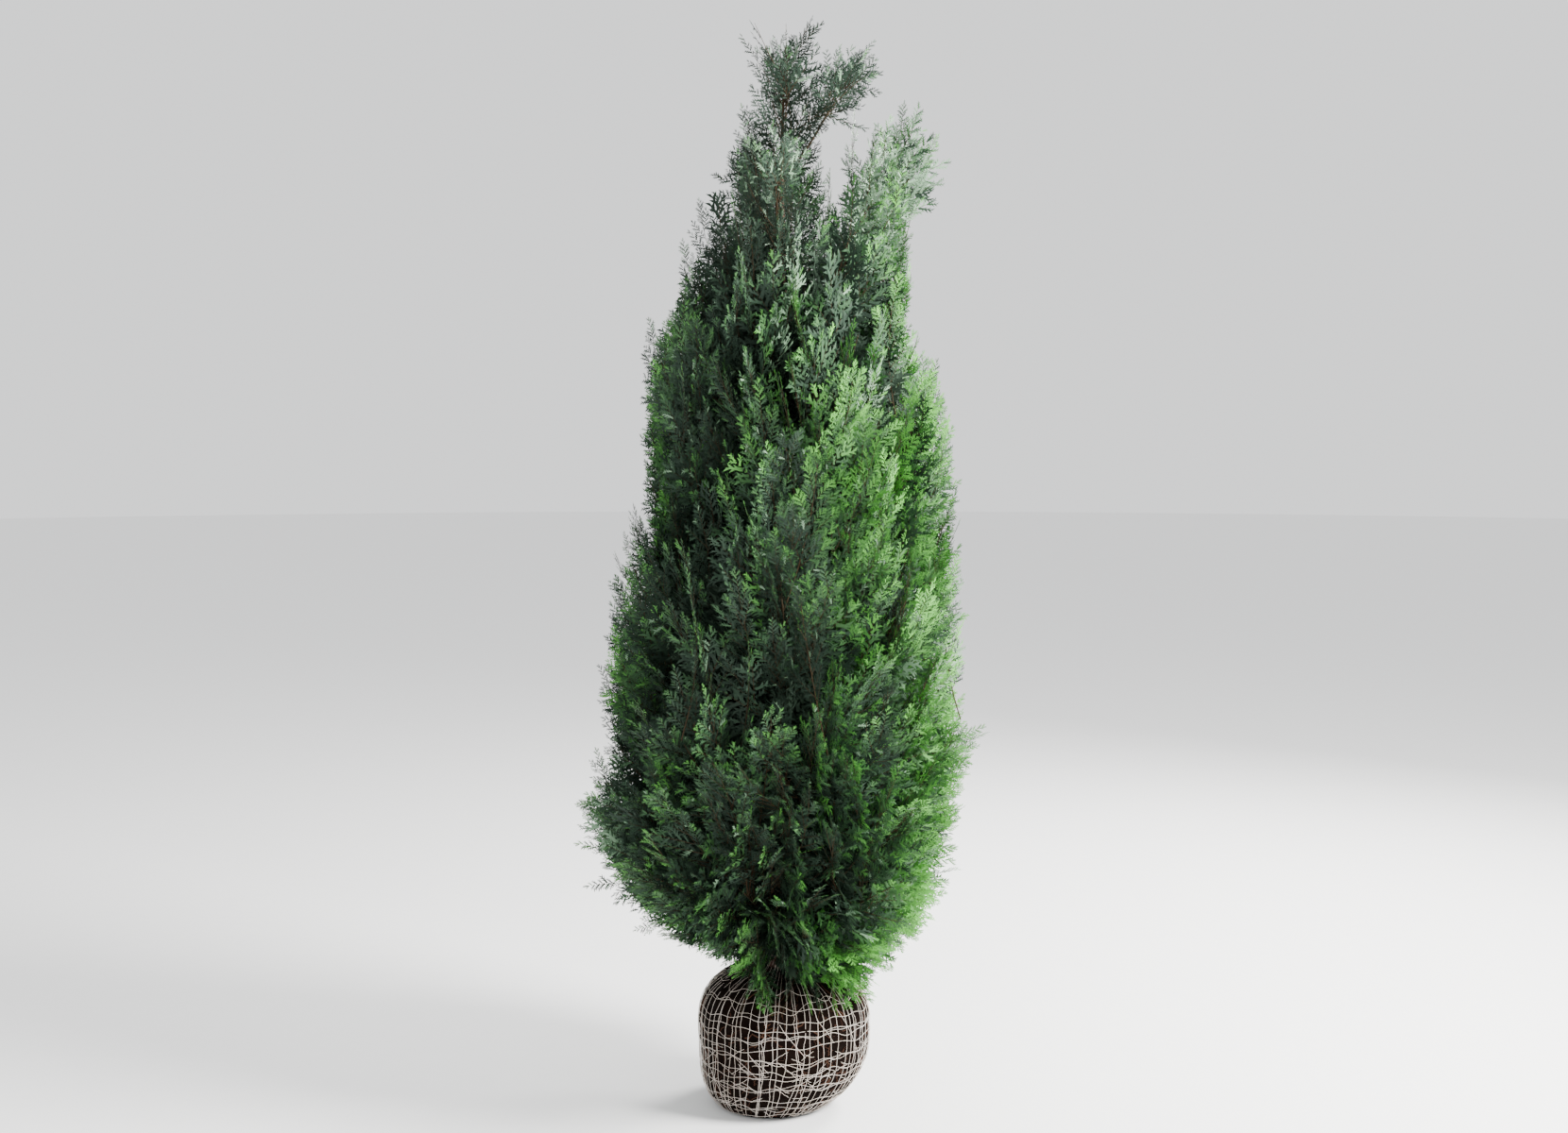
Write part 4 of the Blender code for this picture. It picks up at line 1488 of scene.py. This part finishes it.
    def sprays_of(self, plumes: Plumes, growth: Growth) -> Sprays:
        """The flat sprays of plumes: two ranks along each stem, and one at its tip.

        Args:
            plumes: the plumes.
            growth: how they are furnished.

        Returns:
            All the sprays that keep to the crown.
        """
        draw, habit, count = self.draw, self.spray, growth.sprays
        many = (len(plumes.start), count + 1)
        progress = np.append((np.arange(count) + 0.5) / count, 1.0)
        t = (growth.bare + (1.0 - growth.bare) * progress)[None, :, None]
        start, knee, end = (v[:, None, :] for v in (plumes.start, plumes.knee, plumes.end))
        root = start * (1 - t) ** 2 + knee * 2 * t * (1 - t) + end * t * t
        tangent = unit((knee - start) * (1 - t) + (end - knee) * t)
        normal = square_to(plumes.normal[:, None, :] * np.ones_like(root), tangent)
        opening = np.radians(np.interp(progress, [0, 1], growth.opening_deg))
        opening[-1] = 0.0
        opening = opening + draw.normal(0, habit.opening_play, many)
        forward, face = self.branched(tangent, normal, opening, growth.looseness)
        face = rolled(face, forward, draw.normal(0.0, growth.looseness, many))
        envelope = np.interp(progress, *habit.envelope)
        envelope[-1] = habit.tip_length
        length = plumes.spray_length[:, None] * envelope * draw.uniform(*habit.length_play, many)
        nod = np.interp(root[..., 2], *habit.nod) + draw.normal(0, habit.nod_play, many)
        curl = unit(tangent + UP * nod[..., None]) * draw.uniform(*habit.curl, many)[..., None]
        bright = plumes.brightness[:, None] + draw.normal(0, self.colouring.spray_play, many)
        bright = bright + self.colouring.along_plume * (progress - 0.5)
        flat = (-1, 3)
        sprays = Sprays(
            root.reshape(flat), forward.reshape(flat), face.reshape(flat), curl.reshape(flat),
            length.ravel(), bright.ravel(), np.repeat(plumes.glaucous, count + 1),
        )
        return self.kept_in_reach(sprays, growth.reach_share)

    def branched(
        self, along: np.ndarray, normal: np.ndarray, opening: np.ndarray, looseness: float
    ) -> tuple[np.ndarray, np.ndarray]:
        """Turns side shoots out of their parent's plane by turns to the left and to the right.

        Args:
            along: the parent's direction at each shoot.
            normal: the plane's normal there.
            opening: the angle between parent and shoot.
            looseness: how far shoots leave the plane, in radians.

        Returns:
            The shoots' directions and the normals of their own planes.
        """
        hand = np.where(np.arange(opening.shape[1]) % 2 == 0, 1.0, -1.0)
        tilt = self.draw.normal(0.0, looseness, opening.shape)
        side = np.cross(normal, along)
        level = side * (hand * np.cos(tilt))[..., None] + normal * np.sin(tilt)[..., None]
        forward = unit(along * np.cos(opening)[..., None] + level * np.sin(opening)[..., None])
        return forward, square_to(normal, forward)

    def kept_in_reach(self, sprays: Sprays, share: float) -> Sprays:
        """Shortens sprays that stand out too far, and drops those that hang too low or enter the ball.

        Args:
            sprays: the sprays, whose lengths are changed.
            share: how far out they may reach, as a share of the crown's outline.

        Returns:
            The sprays that are kept.
        """
        habit, lid = self.spray, self.ball.height
        shortened, times = habit.shortening
        for _ in range(times):
            sprays.length[self.outline.outside(sprays.tips(), share)] *= shortened
        good = ~self.outline.outside(sprays.tips(), share + habit.spare_share)
        for points in (sprays.root, sprays.tips()):
            turn, height = np.arctan2(points[:, 1], points[:, 0]), points[:, 2]
            skin = self.ball.point(turn, np.minimum(height, lid - habit.lid_edge))
            radius = np.hypot(skin[:, 0], skin[:, 1]) + habit.skin_gap
            beside = np.hypot(points[:, 0], points[:, 1]) > radius
            good &= beside | (height > lid + habit.lid_gap)
            good &= (height > self.outline.lowest(points)) & (height < self.rule.top)
        return Sprays(*(getattr(sprays, part.name)[good] for part in fields(Sprays)))

    def branchlets_of(self, sprays: Sprays, growth: Growth) -> dict[str, np.ndarray]:
        """The branchlets of sprays: two ranks along each rib, and one at its tip.

        Args:
            sprays: the sprays.
            growth: how they are furnished.

        Returns:
            Arrays of roots, directions, sides, normals, sizes and brightness, and of how glaucous they are.
        """
        draw, habit, count = self.draw, self.branchlet, growth.branchlets
        many = (len(sprays.length), count + 1)
        first, span = habit.stretch
        u = np.append(first + span * (np.arange(count) + 0.5) / count, habit.tip_place)
        root = sprays.at(u)
        tangent = unit(sprays.forward[:, None] + 2 * sprays.curl[:, None] * u[None, :, None])
        normal = square_to(sprays.normal[:, None] * np.ones_like(root), tangent)
        opening = np.radians(habit.opening_deg[0] - habit.opening_deg[1] * u)
        opening[-1] = 0.0
        opening = opening + draw.normal(0, habit.opening_play, many)
        forward, face = self.branched(tangent, normal, opening, habit.looseness)
        shape = np.sin(math.pi * (habit.swell[0] + habit.swell[1] * u))
        shape[-1] = habit.tip_length
        size = sprays.length[:, None] * growth.branchlet_share * shape
        size = size * draw.uniform(*habit.size_play, many)
        bright = sprays.brightness[:, None] + self.colouring.along_spray * (u - self.colouring.spray_middle)
        bright = bright + draw.normal(0, self.colouring.branchlet_play, many)
        flat = (-1, 3)
        return {
            "root": root.reshape(flat),
            "forward": forward.reshape(flat),
            "side": np.cross(face, forward).reshape(flat),
            "normal": face.reshape(flat),
            "size": size.ravel(),
            "bright": bright.ravel(),
            "glaucous": np.repeat(sprays.glaucous, count + 1),
        }

    def placed(
        self, some: dict[str, np.ndarray], chosen: np.ndarray, growth: Growth
    ) -> tuple[np.ndarray, np.ndarray]:
        """Puts branchlets in their places.

        Args:
            some: arrays of branchlets, as branchlets_of gives them.
            chosen: the numbers of those that are wanted.
            growth: the kind of plume that they belong to.

        Returns:
            Their points and triangles.
        """
        shape, faces = self.branchlet.outline(growth)
        size = some["size"][chosen][:, None, None]
        x, y = shape[None, :, 0:1], shape[None, :, 1:2]
        along, across = self.branchlet.cupping
        points = (
            some["root"][chosen][:, None]
            + size * x * some["forward"][chosen][:, None]
            + size * y * some["side"][chosen][:, None]
            + size * (along * x * x - across * y * y) * some["normal"][chosen][:, None]
        )
        start = np.arange(len(points))[:, None, None] * len(shape)
        return points.reshape(-1, 3), (faces[None] + start).reshape(-1, 3)

    def add_pieces(self, tone: Tone, points: np.ndarray, faces: np.ndarray) -> None:
        """Adds joined sprays of one tone, split where a piece would be too large.

        Args:
            tone: their green.
            points: all their points.
            faces: all their triangles.
        """
        material = tone.value.material()
        parts = max(1, math.ceil(len(faces) / PIECE_LIMIT))
        for k, some in enumerate(np.array_split(faces, parts)):
            first, last = some.min(), some.max() + 1
            name = f"sprays_{tone.name.lower()}_{k + 1}"
            piece = mesh_from_arrays(name, points[first:last], some - first, False)
            attach(piece, "foliage", material, self.nodes)

    def stems(self, plumes: Plumes) -> tuple[np.ndarray, np.ndarray]:
        """The plumes' stems as slender tubes.

        Args:
            plumes: the plumes.

        Returns:
            Points and faces.
        """
        paths = bend(plumes.start, plumes.knee, plumes.end, self.stem_steps)
        taper = np.linspace(1.0, self.stem_end_share, self.stem_steps) * np.ones((len(paths), 1))
        return tubes(paths, self.stem_radius * taper, self.stem_sides)

    def ribs(self, sprays: Sprays) -> tuple[np.ndarray, np.ndarray]:
        """The sprays' ribs as fine three-sided tubes."""
        radii = sprays.length[:, None] * np.array([self.spray.rib])
        return tubes(sprays.at(np.array([0.0, self.spray.rib_share])), radii, self.rib_sides)

    def grow(
        self, plumes: Plumes, growth: Growth, stems: list, ribs: list, leaves: dict[Tone, list]
    ) -> None:
        """Grows plumes into sprays and deals their branchlets by tone.

        Args:
            plumes: the plumes.
            growth: how they grow.
            stems: takes their stems.
            ribs: takes their sprays' ribs.
            leaves: takes the branchlets of each tone.
        """
        stems.append(self.stems(plumes))
        sprays = self.sprays_of(plumes, growth)
        ribs.append(self.ribs(sprays))
        some = self.branchlets_of(sprays, growth)
        odd = self.draw.uniform(0, 1, len(some["glaucous"])) < some["glaucous"]
        for tone, chosen in self.colouring.dealt(some["bright"], odd).items():
            leaves.setdefault(tone, []).append(self.placed(some, chosen, growth))

    def build(self, twig: bpy.types.Material) -> None:
        """Grows the crown and adds its pieces.

        Args:
            twig: the material of stems and ribs.
        """
        main, top, deep, filling = (
            self.targets(layer.rows) for layer in (self.main, self.top, self.deep, self.filling)
        )
        main = np.concatenate([main, self.apron.targets(self.draw)])
        leader_tips = [tip for tip in self.top_tips if tip.z >= self.leader_height]
        lower_tips = [tip for tip in self.top_tips if tip.z < self.leader_height]
        groups = [
            (self.plumes_to(main, self.main), self.main.growth),
            (self.plumes_to(top, self.top), self.top.growth),
            (self.separate_tips(leader_tips), self.crest),
            (self.separate_tips(lower_tips), self.top.growth),
            *((self.spire_plumes(mass), self.crest) for mass in self.masses if mass.spire),
            (self.plumes_to(filling, self.filling), self.filling.growth),
        ]
        # Painted shade on the filling sprays.
        groups[-1][0].brightness -= self.filling_painted_shade
        stems, ribs, leaves, inside_painted_shade = [], [], {}, []
        for plumes, growth in groups:
            self.grow(plumes, growth, stems, ribs, leaves)
        # Painted shade: the deep and core sprays inside the crown all get the SHADE green.
        for inside in (deep, self.targets(self.core_rows)):
            plumes = self.plumes_to(inside, self.deep)
            stems.append(self.stems(plumes))
            some = self.branchlets_of(self.sprays_of(plumes, self.deep.growth), self.deep.growth)
            inside_painted_shade.append(self.placed(some, np.arange(len(some["size"])), self.deep.growth))
        self.grow(self.separate_tips(list(self.side_tips)), self.edge, stems, ribs, leaves)
        for tone, parts in (*leaves.items(), (Tone.SHADE, inside_painted_shade)):
            self.add_pieces(tone, *join_arrays(parts))
        attach(mesh_from_arrays("twigs_stems", *join_arrays(stems), True), "bark", twig, self.nodes)
        attach(mesh_from_arrays("twigs_ribs", *join_arrays(ribs), False), "bark", twig, self.nodes)
        LOG.info("%d main plumes, %d near the top, %d deep inside", len(main), len(top), len(deep))


# Trunk, boughs, ball and net


@dataclass
class Bark:
    """The trunk and boughs with the bark's relief, and the masses' main stems.

    Attributes:
        crowding: how much closer the trunk's rings are at its foot.
        ridge: how far the bark's shreds stand out.
        shred_scale: how many shreds there are in a metre, level and upright.
        shred_noise: the roughness, the step and the count of the noise's octaves.
        bough_collar: how much thicker a bough's first two sections are.
        stem_share: the share of its mass that a main stem goes through.
    """

    trunk: TrunkLine
    masses: list[Mass]
    sides: int = 36
    rings: int = 240
    crowding: float = 1.3
    ridge: float = 0.0009
    shred_scale: tuple[float, float] = (260.0, 26.0)
    shred_noise: tuple[float, float, int] = (0.9, 2.1, 4)
    bough_sides: int = 14
    bough_steps: int = 14
    bough_radii: tuple[float, float] = (0.0105, 0.0052)
    bough_collar: tuple[float, float] = (1.35, 1.12)
    bough_knee: float = 0.55
    stem_sides: int = 8
    stem_steps: int = 12
    stem_radii: tuple[float, float] = (0.0036, 0.0008)
    stem_share: float = 0.80
    stem_sag: float = 0.01

    def build(self, material: bpy.types.Material) -> None:
        """Adds the trunk, and the boughs.

        Args:
            material: the bark.
        """
        climb = np.linspace(0, 1, self.rings) ** self.crowding
        height = self.trunk.foot + (self.trunk.top - self.trunk.foot) * climb
        middle = self.trunk.centre(height)
        points, faces = tubes(middle[None], self.trunk.radius(height)[None], self.sides)
        points = self.roughened(points, np.repeat(middle, self.sides, axis=0))
        attach(mesh_from_arrays("trunk_bark", points, faces, True), "bark", material, ["trunk"])

        limbs = [mass for mass in self.masses if mass.bough_root is not None]
        root = np.array([mass.bough_root for mass in limbs])
        end = np.array([mass.base for mass in limbs])
        tip = np.array([mass.tip for mass in limbs])
        knee = end - unit(tip - end) * self.bough_knee * np.linalg.norm(end - root, axis=1, keepdims=True)
        radii = np.linspace(*self.bough_radii, self.bough_steps) * np.ones((len(limbs), 1))
        radii[:, :2] *= self.bough_collar
        paths = bend(root, knee, end, self.bough_steps)
        points, faces = tubes(paths, radii, self.bough_sides)
        points = self.roughened(points, np.repeat(paths.reshape(-1, 3), self.bough_sides, axis=0))
        boughs = mesh_from_arrays("bough_bark", points, faces, True)
        attach(boughs, "bark", material, [f"bough_{mass.name}" for mass in limbs])

    def roughened(self, points: np.ndarray, centres: np.ndarray) -> np.ndarray:
        """Raises the bark's long shreds on a limb.

        Args:
            points: the limb's points.
            centres: the middle line's point nearest each of them.

        Returns:
            The moved points.
        """
        wide, tall = self.shred_scale
        places = points * np.array([wide, wide, tall])
        shreds = np.array([noise.fractal(Vector(place), *self.shred_noise) for place in places])
        return points + unit(points - centres) * shreds[:, None] * self.ridge

    def main_stems(self) -> tuple[np.ndarray, np.ndarray]:
        """Makes the masses' own stems, from the trunk or a bough to where the last sprays take over.

        Returns:
            Points and faces.
        """
        base = np.array([mass.base for mass in self.masses])
        tip = base + (np.array([mass.tip for mass in self.masses]) - base) * self.stem_share
        radii = np.linspace(*self.stem_radii, self.stem_steps) * np.ones((len(base), 1))
        knee = (base + tip) / 2 - UP * self.stem_sag
        return tubes(bend(base, knee, tip, self.stem_steps), radii, self.stem_sides)


@dataclass
class RootBall:
    """The ball of soil and fine roots.

    Attributes:
        underside: the rings under the ball, as shares of its lowest one.
        lid: the rings on top, as shares of the highest one.
        clod: how far clods stand out.
        clod_scale: how many clods there are in a metre, and how many lumps.
        lump_share: how high lumps are, as a share of clods.
        clod_middle: the noise that leaves the soil where it is.
        flat_below: the height below which the underside stays flat.
        root_wander: how far each step strays round the ball, in radians.
        root_drift: how far each step goes up or down, at least and at most.
        root_stray: how far steps stray from that.
        root_heights: between which heights roots stay.
        root_sink: how deep their middle lies in the soil.
    """

    shape: BallShape
    around: int = 220
    up: int = 100
    underside: tuple[float, ...] = (0.02, 0.35, 0.7)
    lid: tuple[float, ...] = (0.9, 0.75, 0.6, 0.45, 0.3, 0.1)
    clod: float = 0.0045
    clod_scale: tuple[float, float] = (55.0, 22.0)
    clod_noise: tuple[float, float, int] = (0.8, 2.0, 5)
    lump_share: float = 0.5
    clod_middle: float = 0.3
    flat_below: float = 0.001
    roots: int = 150
    root_steps: int = 16
    root_sides: int = 5
    root_wander: float = 0.045
    root_drift: tuple[float, float] = (0.002, 0.009)
    root_stray: float = 0.003
    root_starts: tuple[float, float] = (0.03, 0.24)
    root_heights: tuple[float, float] = (0.008, 0.268)
    root_sink: float = 0.0008
    root_radii: tuple[float, float] = (0.0005, 0.0014)
    root_taper: float = 0.4
    seed: int = 5

    def build(self, soil: bpy.types.Material, root: bpy.types.Material) -> None:
        """Adds the soil with its clods, and the roots that show on it.

        Args:
            soil: the ball's material.
            root: the roots' material.
        """
        angle = np.arange(self.around) * (math.tau / self.around)
        height = self.shape.height * np.linspace(0.0, 1.0, self.up)
        skin = self.shape.point(*np.meshgrid(angle, height))
        below = [skin[0] * np.array([k, k, 1.0]) for k in self.underside]
        above = [skin[-1] * np.array([k, k, 1.0]) for k in self.lid]
        points = np.concatenate([np.array(below), skin, np.array(above)])
        faces = ring_faces(len(points), self.around)
        ball = mesh_from_arrays("soil_ball", self.clodded(points.reshape(-1, 3)), faces, True)
        attach(ball, "soil", soil, ["root_ball"])
        attach(mesh_from_arrays("fine_roots", *self.root_tubes(), True), "soil", root, [])

    def clodded(self, points: np.ndarray) -> np.ndarray:
        """Raises clods on the soil, but not on its flat underside.

        Args:
            points: the smooth ball's points.

        Returns:
            The moved points.
        """
        fine, wide = self.clod_scale
        middle, moved = UP * self.shape.waist_height, points.copy()
        for i in np.flatnonzero(points[:, 2] >= self.flat_below):
            clod = noise.fractal(Vector(points[i] * fine), *self.clod_noise)
            clod = clod + self.lump_share * noise.noise(Vector(points[i] * wide))
            moved[i] = points[i] + unit(points[i] - middle) * (clod - self.clod_middle) * self.clod
        return moved

    def root_tubes(self) -> tuple[np.ndarray, np.ndarray]:
        """Makes fine roots that wander over the soil.

        Returns:
            Points and faces.
        """
        draw, one, many = np.random.default_rng(self.seed), (self.roots, 1), (self.roots, self.root_steps)
        turn = draw.uniform(0, math.tau, one) + np.cumsum(draw.normal(0, self.root_wander, many), axis=1)
        drift = draw.choice([-1, 1], one) * draw.uniform(*self.root_drift, one)
        start = draw.uniform(*self.root_starts, one)
        level = start + np.cumsum(drift + draw.normal(0, self.root_stray, many), axis=1)
        paths = self.shape.point(turn, np.clip(level, *self.root_heights), -self.root_sink)
        radii = draw.uniform(*self.root_radii, one) * np.linspace(1, self.root_taper, self.root_steps)
        return tubes(paths, radii, self.root_sides)


@dataclass(frozen=True)
class Strays:
    """Short strands that cross the meshes.

    Attributes:
        spans: the shortest and the longest turn about the ball, in radians.
        slopes: the least and the greatest slope.
        heights: the lowest and the highest middle.
    """

    count: int
    spans: tuple[float, float]
    slopes: tuple[float, float]
    heights: tuple[float, float]


@dataclass(frozen=True)
class Strands:
    """Strands from under the ball to its neck, or rings round it.

    Attributes:
        looseness: how far each step of an upright one strays, in radians, or how much more a ring sags.
        lift: how far they lie above the first layer of wire, in radii of the wire.
        gauge: how thick they are, as a share of the usual wire.
    """

    count: int
    looseness: float
    lift: float = 0.0
    gauge: float = 1.0


@dataclass
class WireNet:
    """The net round the ball: upright meshes gathered at the neck, sagging rings and slanting strands.

    Attributes:
        stand_off: how far off the soil the first layer lies.
        neck_curve: how late strands rise to the neck.
        upright_play: how far strands stand from their places, as a share of the gap.
        upright_lean: how far they lean, in steps of their wander.
        upright_ends: how far from the ball's underside and top the upright part ends.
        ring_places: where rings lie in their equal shares of the height, at least and at most.
        ring_waves: how often a ring's sagging repeats round the ball.
        ring_sag: how far each wave sags, at least and at most.
        stray_lift: how far it lies above the first layer, in radii of the wire.
        limits: between which heights rings and stray strands stay.
    """

    shape: BallShape
    uprights: tuple[Strands, ...] = (Strands(70, 0.0050), Strands(10, 0.0130, lift=1.0, gauge=0.85))
    rings: tuple[Strands, ...] = (Strands(13, 1.4, lift=1.6), Strands(5, 2.2, lift=1.0, gauge=0.85))
    strays: tuple[Strays, ...] = (
        Strays(50, (0.16, 0.42), (0.5, 2.2), (0.05, 0.22)),
        Strays(230, (0.07, 0.24), (0.0, 0.8), (0.008, 0.150)),
    )
    wire: float = 0.00035
    stand_off: float = 0.0022
    neck_radius: float = 0.040
    neck_height: float = 0.312
    neck_curve: float = 1.8
    neck_steps: int = 7
    upright_steps: int = 34
    upright_play: float = 0.3
    upright_lean: float = 3.0
    upright_ends: tuple[float, float] = (0.004, 0.002)
    ring_steps: int = 140
    ring_places: tuple[float, float] = (0.3, 0.7)
    ring_span: float = 0.268
    ring_waves: tuple[int, ...] = (1, 2, 3, 5, 9, 17)
    ring_sag: tuple[float, float] = (0.0004, 0.0026)
    stray_steps: int = 9
    stray_play: float = 0.0008
    stray_lift: float = 2.0
    stray_gauge: float = 0.85
    limits: tuple[float, float] = (0.004, 0.276)
    sides: int = 4
    seed: int = 11

    def build(self, material: bpy.types.Material) -> None:
        """Adds the net as one piece.

        Args:
            material: the wire's material.
        """
        draw = np.random.default_rng(self.seed)
        parts = [self.upright_wires(draw, strands) for strands in self.uprights]
        parts += [self.ring_wires(draw, strands) for strands in self.rings]
        parts += [self.stray_wires(draw, strays) for strays in self.strays]
        net = mesh_from_arrays("net_strands", *join_arrays(parts), True)
        attach(net, "net_wire", material, ["wire_net"])

    def drawn(self, paths: np.ndarray, gauge: float) -> tuple[np.ndarray, np.ndarray]:
        """Makes wires of one thickness.

        Args:
            paths: their middle lines, shaped (wires, steps, 3).
            gauge: how thick they are, as a share of the usual wire.

        Returns:
            Points and faces.
        """
        return tubes(paths, np.full(paths.shape[:2], self.wire * gauge), self.sides)

    def upright_wires(self, draw: np.random.Generator, strands: Strands) -> tuple[np.ndarray, np.ndarray]:
        """Makes strands from under the ball to its neck.

        Args:
            draw: the seeded draw.
            strands: how many, how loose and how thick they are.

        Returns:
            Points and faces.
        """
        steps, count, wander = self.upright_steps, strands.count, strands.looseness
        play, top = self.upright_play, self.shape.height
        turn = (np.arange(count) + draw.uniform(-play, play, count))[:, None] * (math.tau / count)
        stray = np.cumsum(draw.normal(0, wander, (count, steps)), axis=1)
        lean = draw.normal(0, self.upright_lean * wander, (count, 1)) * np.linspace(-1, 1, steps)
        stray = stray - stray.mean(axis=1, keepdims=True) + lean
        low, high = self.upright_ends
        level = np.linspace(low, top - high, steps) * np.ones((count, 1))
        body = self.shape.point(turn + stray, level, self.stand_off + strands.lift * self.wire)
        inward = np.linspace(0.0, 1.0, self.neck_steps + 1)[1:]
        shoulder = body[:, -1:]
        rim = np.hypot(shoulder[..., 0], shoulder[..., 1])[..., None]
        gathered = UP * self.neck_height + shoulder * np.array([1, 1, 0]) * (self.neck_radius / rim)
        neck = shoulder + (gathered - shoulder) * inward[None, :, None]
        neck[..., 2] = top + (self.neck_height - top) * inward**self.neck_curve + high
        return self.drawn(np.concatenate([body, neck], axis=1), strands.gauge)

    def ring_wires(self, draw: np.random.Generator, strands: Strands) -> tuple[np.ndarray, np.ndarray]:
        """Makes strands round the ball.

        Args:
            draw: the seeded draw.
            strands: how many, how loose and how thick they are.

        Returns:
            Points and faces.
        """
        count, one = strands.count, (strands.count, 1)
        place = np.arange(count) + draw.uniform(*self.ring_places, count)
        level = place[:, None] * (self.ring_span / count)
        turn = np.linspace(0, math.tau, self.ring_steps) * np.ones(one)
        sag = sum(
            draw.uniform(*self.ring_sag, one) * np.sin(wave * turn + draw.uniform(0, math.tau, one))
            for wave in self.ring_waves
        )
        level = np.clip(level + sag * strands.looseness, *self.limits)
        paths = self.shape.point(turn, level, self.stand_off + strands.lift * self.wire)
        return self.drawn(paths, strands.gauge)

    def stray_wires(self, draw: np.random.Generator, strays: Strays) -> tuple[np.ndarray, np.ndarray]:
        """Makes short strands that cross the meshes.

        Args:
            draw: the seeded draw.
            strays: how many there are, and how they lie.

        Returns:
            Points and faces.
        """
        count, one = strays.count, (strays.count, 1)
        slope = draw.choice([-1.0, 1.0], one) * draw.uniform(*strays.slopes, one)
        along = np.linspace(-0.5, 0.5, self.stray_steps) * draw.uniform(*strays.spans, one)
        turn = draw.uniform(0, math.tau, one) + along
        level = draw.uniform(*strays.heights, one) + along * slope * self.shape.waist_radius
        play = np.cumsum(draw.normal(0, self.stray_play, (count, self.stray_steps)), axis=1)
        proud = self.stand_off + self.stray_lift * self.wire
        paths = self.shape.point(turn, np.clip(level + play, *self.limits), proud)
        return self.drawn(paths, self.stray_gauge)


# Studio


@dataclass(frozen=True)
class AreaLamp:
    """One soft lamp: where it stands, what it is aimed at, its width, its power and its colour."""

    name: str
    place: Triple
    aim: Triple
    size: float
    watts: float
    colour: Colour = (1.0, 1.0, 1.0)

    def add(self) -> None:
        """Adds the lamp to the scene, aimed."""
        data = bpy.data.lights.new(self.name, "AREA")
        data.shape = "DISK"
        data.size = self.size
        data.energy = self.watts
        data.color = self.colour
        lamp = bpy.data.objects.new(self.name, data)
        lamp.location = self.place
        lamp.rotation_euler = (Vector(self.aim) - Vector(self.place)).to_track_quat("-Z", "Y").to_euler()
        bpy.context.scene.collection.objects.link(lamp)


@dataclass
class Studio:
    """A plain pale floor, soft light from the right, and the camera at the photograph's angle."""

    camera_place: Triple = (0.0, -3.6, 1.35)
    camera_pitch_deg: float = -4.06
    lens: float = 41.27
    sensor_width: float = 36.0
    sight: float = 100.0
    floor_sides: int = 96
    floor_rings: tuple[float, ...] = (0.001, 1.5, 30.0)
    world_colour: Colour = (0.985, 0.995, 1.0)
    world_strength: float = 1.3
    lamps: tuple[AreaLamp, ...] = (
        AreaLamp("key_right", (3.0, -1.2, 3.0), (0.1, 0.0, 1.0), 1.5, 720.0, (1.0, 0.99, 0.96)),
        AreaLamp("rim_back_right", (2.2, 2.4, 2.8), (0.1, 0.0, 1.2), 1.5, 300.0, (1.0, 0.99, 0.97)),
    )

    def build(self) -> None:
        """Adds the floor, the light and the camera."""
        self.add_floor()
        bpy.context.scene.world = self.sky()
        for lamp in self.lamps:
            lamp.add()
        lens = bpy.data.cameras.new("camera")
        lens.lens = self.lens
        lens.sensor_width = self.sensor_width
        lens.clip_end = self.sight
        camera = bpy.data.objects.new("camera", lens)
        camera.location = self.camera_place
        camera.rotation_euler = Euler((math.radians(90.0 + self.camera_pitch_deg), 0.0, 0.0))
        bpy.context.scene.collection.objects.link(camera)
        bpy.context.scene.camera = camera

    def add_floor(self) -> None:
        """Adds the floor, as rings of faces round the middle."""
        turn = np.arange(self.floor_sides) * (math.tau / self.floor_sides)
        circle = np.stack([np.cos(turn), np.sin(turn), 0 * turn], axis=-1)
        rings = [radius * circle for radius in self.floor_rings]
        faces = ring_faces(len(rings), self.floor_sides)[:, ::-1]
        floor = mesh_from_arrays("floor", np.concatenate(rings), faces, False)
        floor.data.materials.append(Surface.FLOOR.value.material())

    def sky(self) -> bpy.types.World:
        """Makes a plain white world.

        Returns:
            The world.
        """
        world = bpy.data.worlds.new("soft_white")
        world.use_nodes = True
        light = world.node_tree.nodes["Background"]
        light.inputs["Color"].default_value = (*self.world_colour, 1.0)
        light.inputs["Strength"].default_value = self.world_strength
        return world


def main() -> None:
    """Builds the plant piece by piece, then the studio."""
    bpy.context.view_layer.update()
    trunk_line, ball_shape = TrunkLine(), BallShape()
    rule = CrownRule(trunk_line)
    masses = rule.masses()
    foliage_nodes = sorted(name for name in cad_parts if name.startswith("foliage_"))
    plant = (Surface.BARK, Surface.TWIG, Surface.SOIL, Surface.ROOT, Surface.WIRE)
    bark, twig, soil, root, wire = (surface.value.material() for surface in plant)

    trunk = Bark(trunk_line, masses)
    trunk.build(bark)
    stems = mesh_from_arrays("main_stems", *trunk.main_stems(), True)
    attach(stems, "bark", twig, foliage_nodes)
    Foliage(rule, masses, foliage_nodes, ball_shape).build(twig)
    RootBall(ball_shape).build(soil, root)
    WireNet(ball_shape).build(wire)
    Studio().build()

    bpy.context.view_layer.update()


if __name__ == "__main__":
    main()
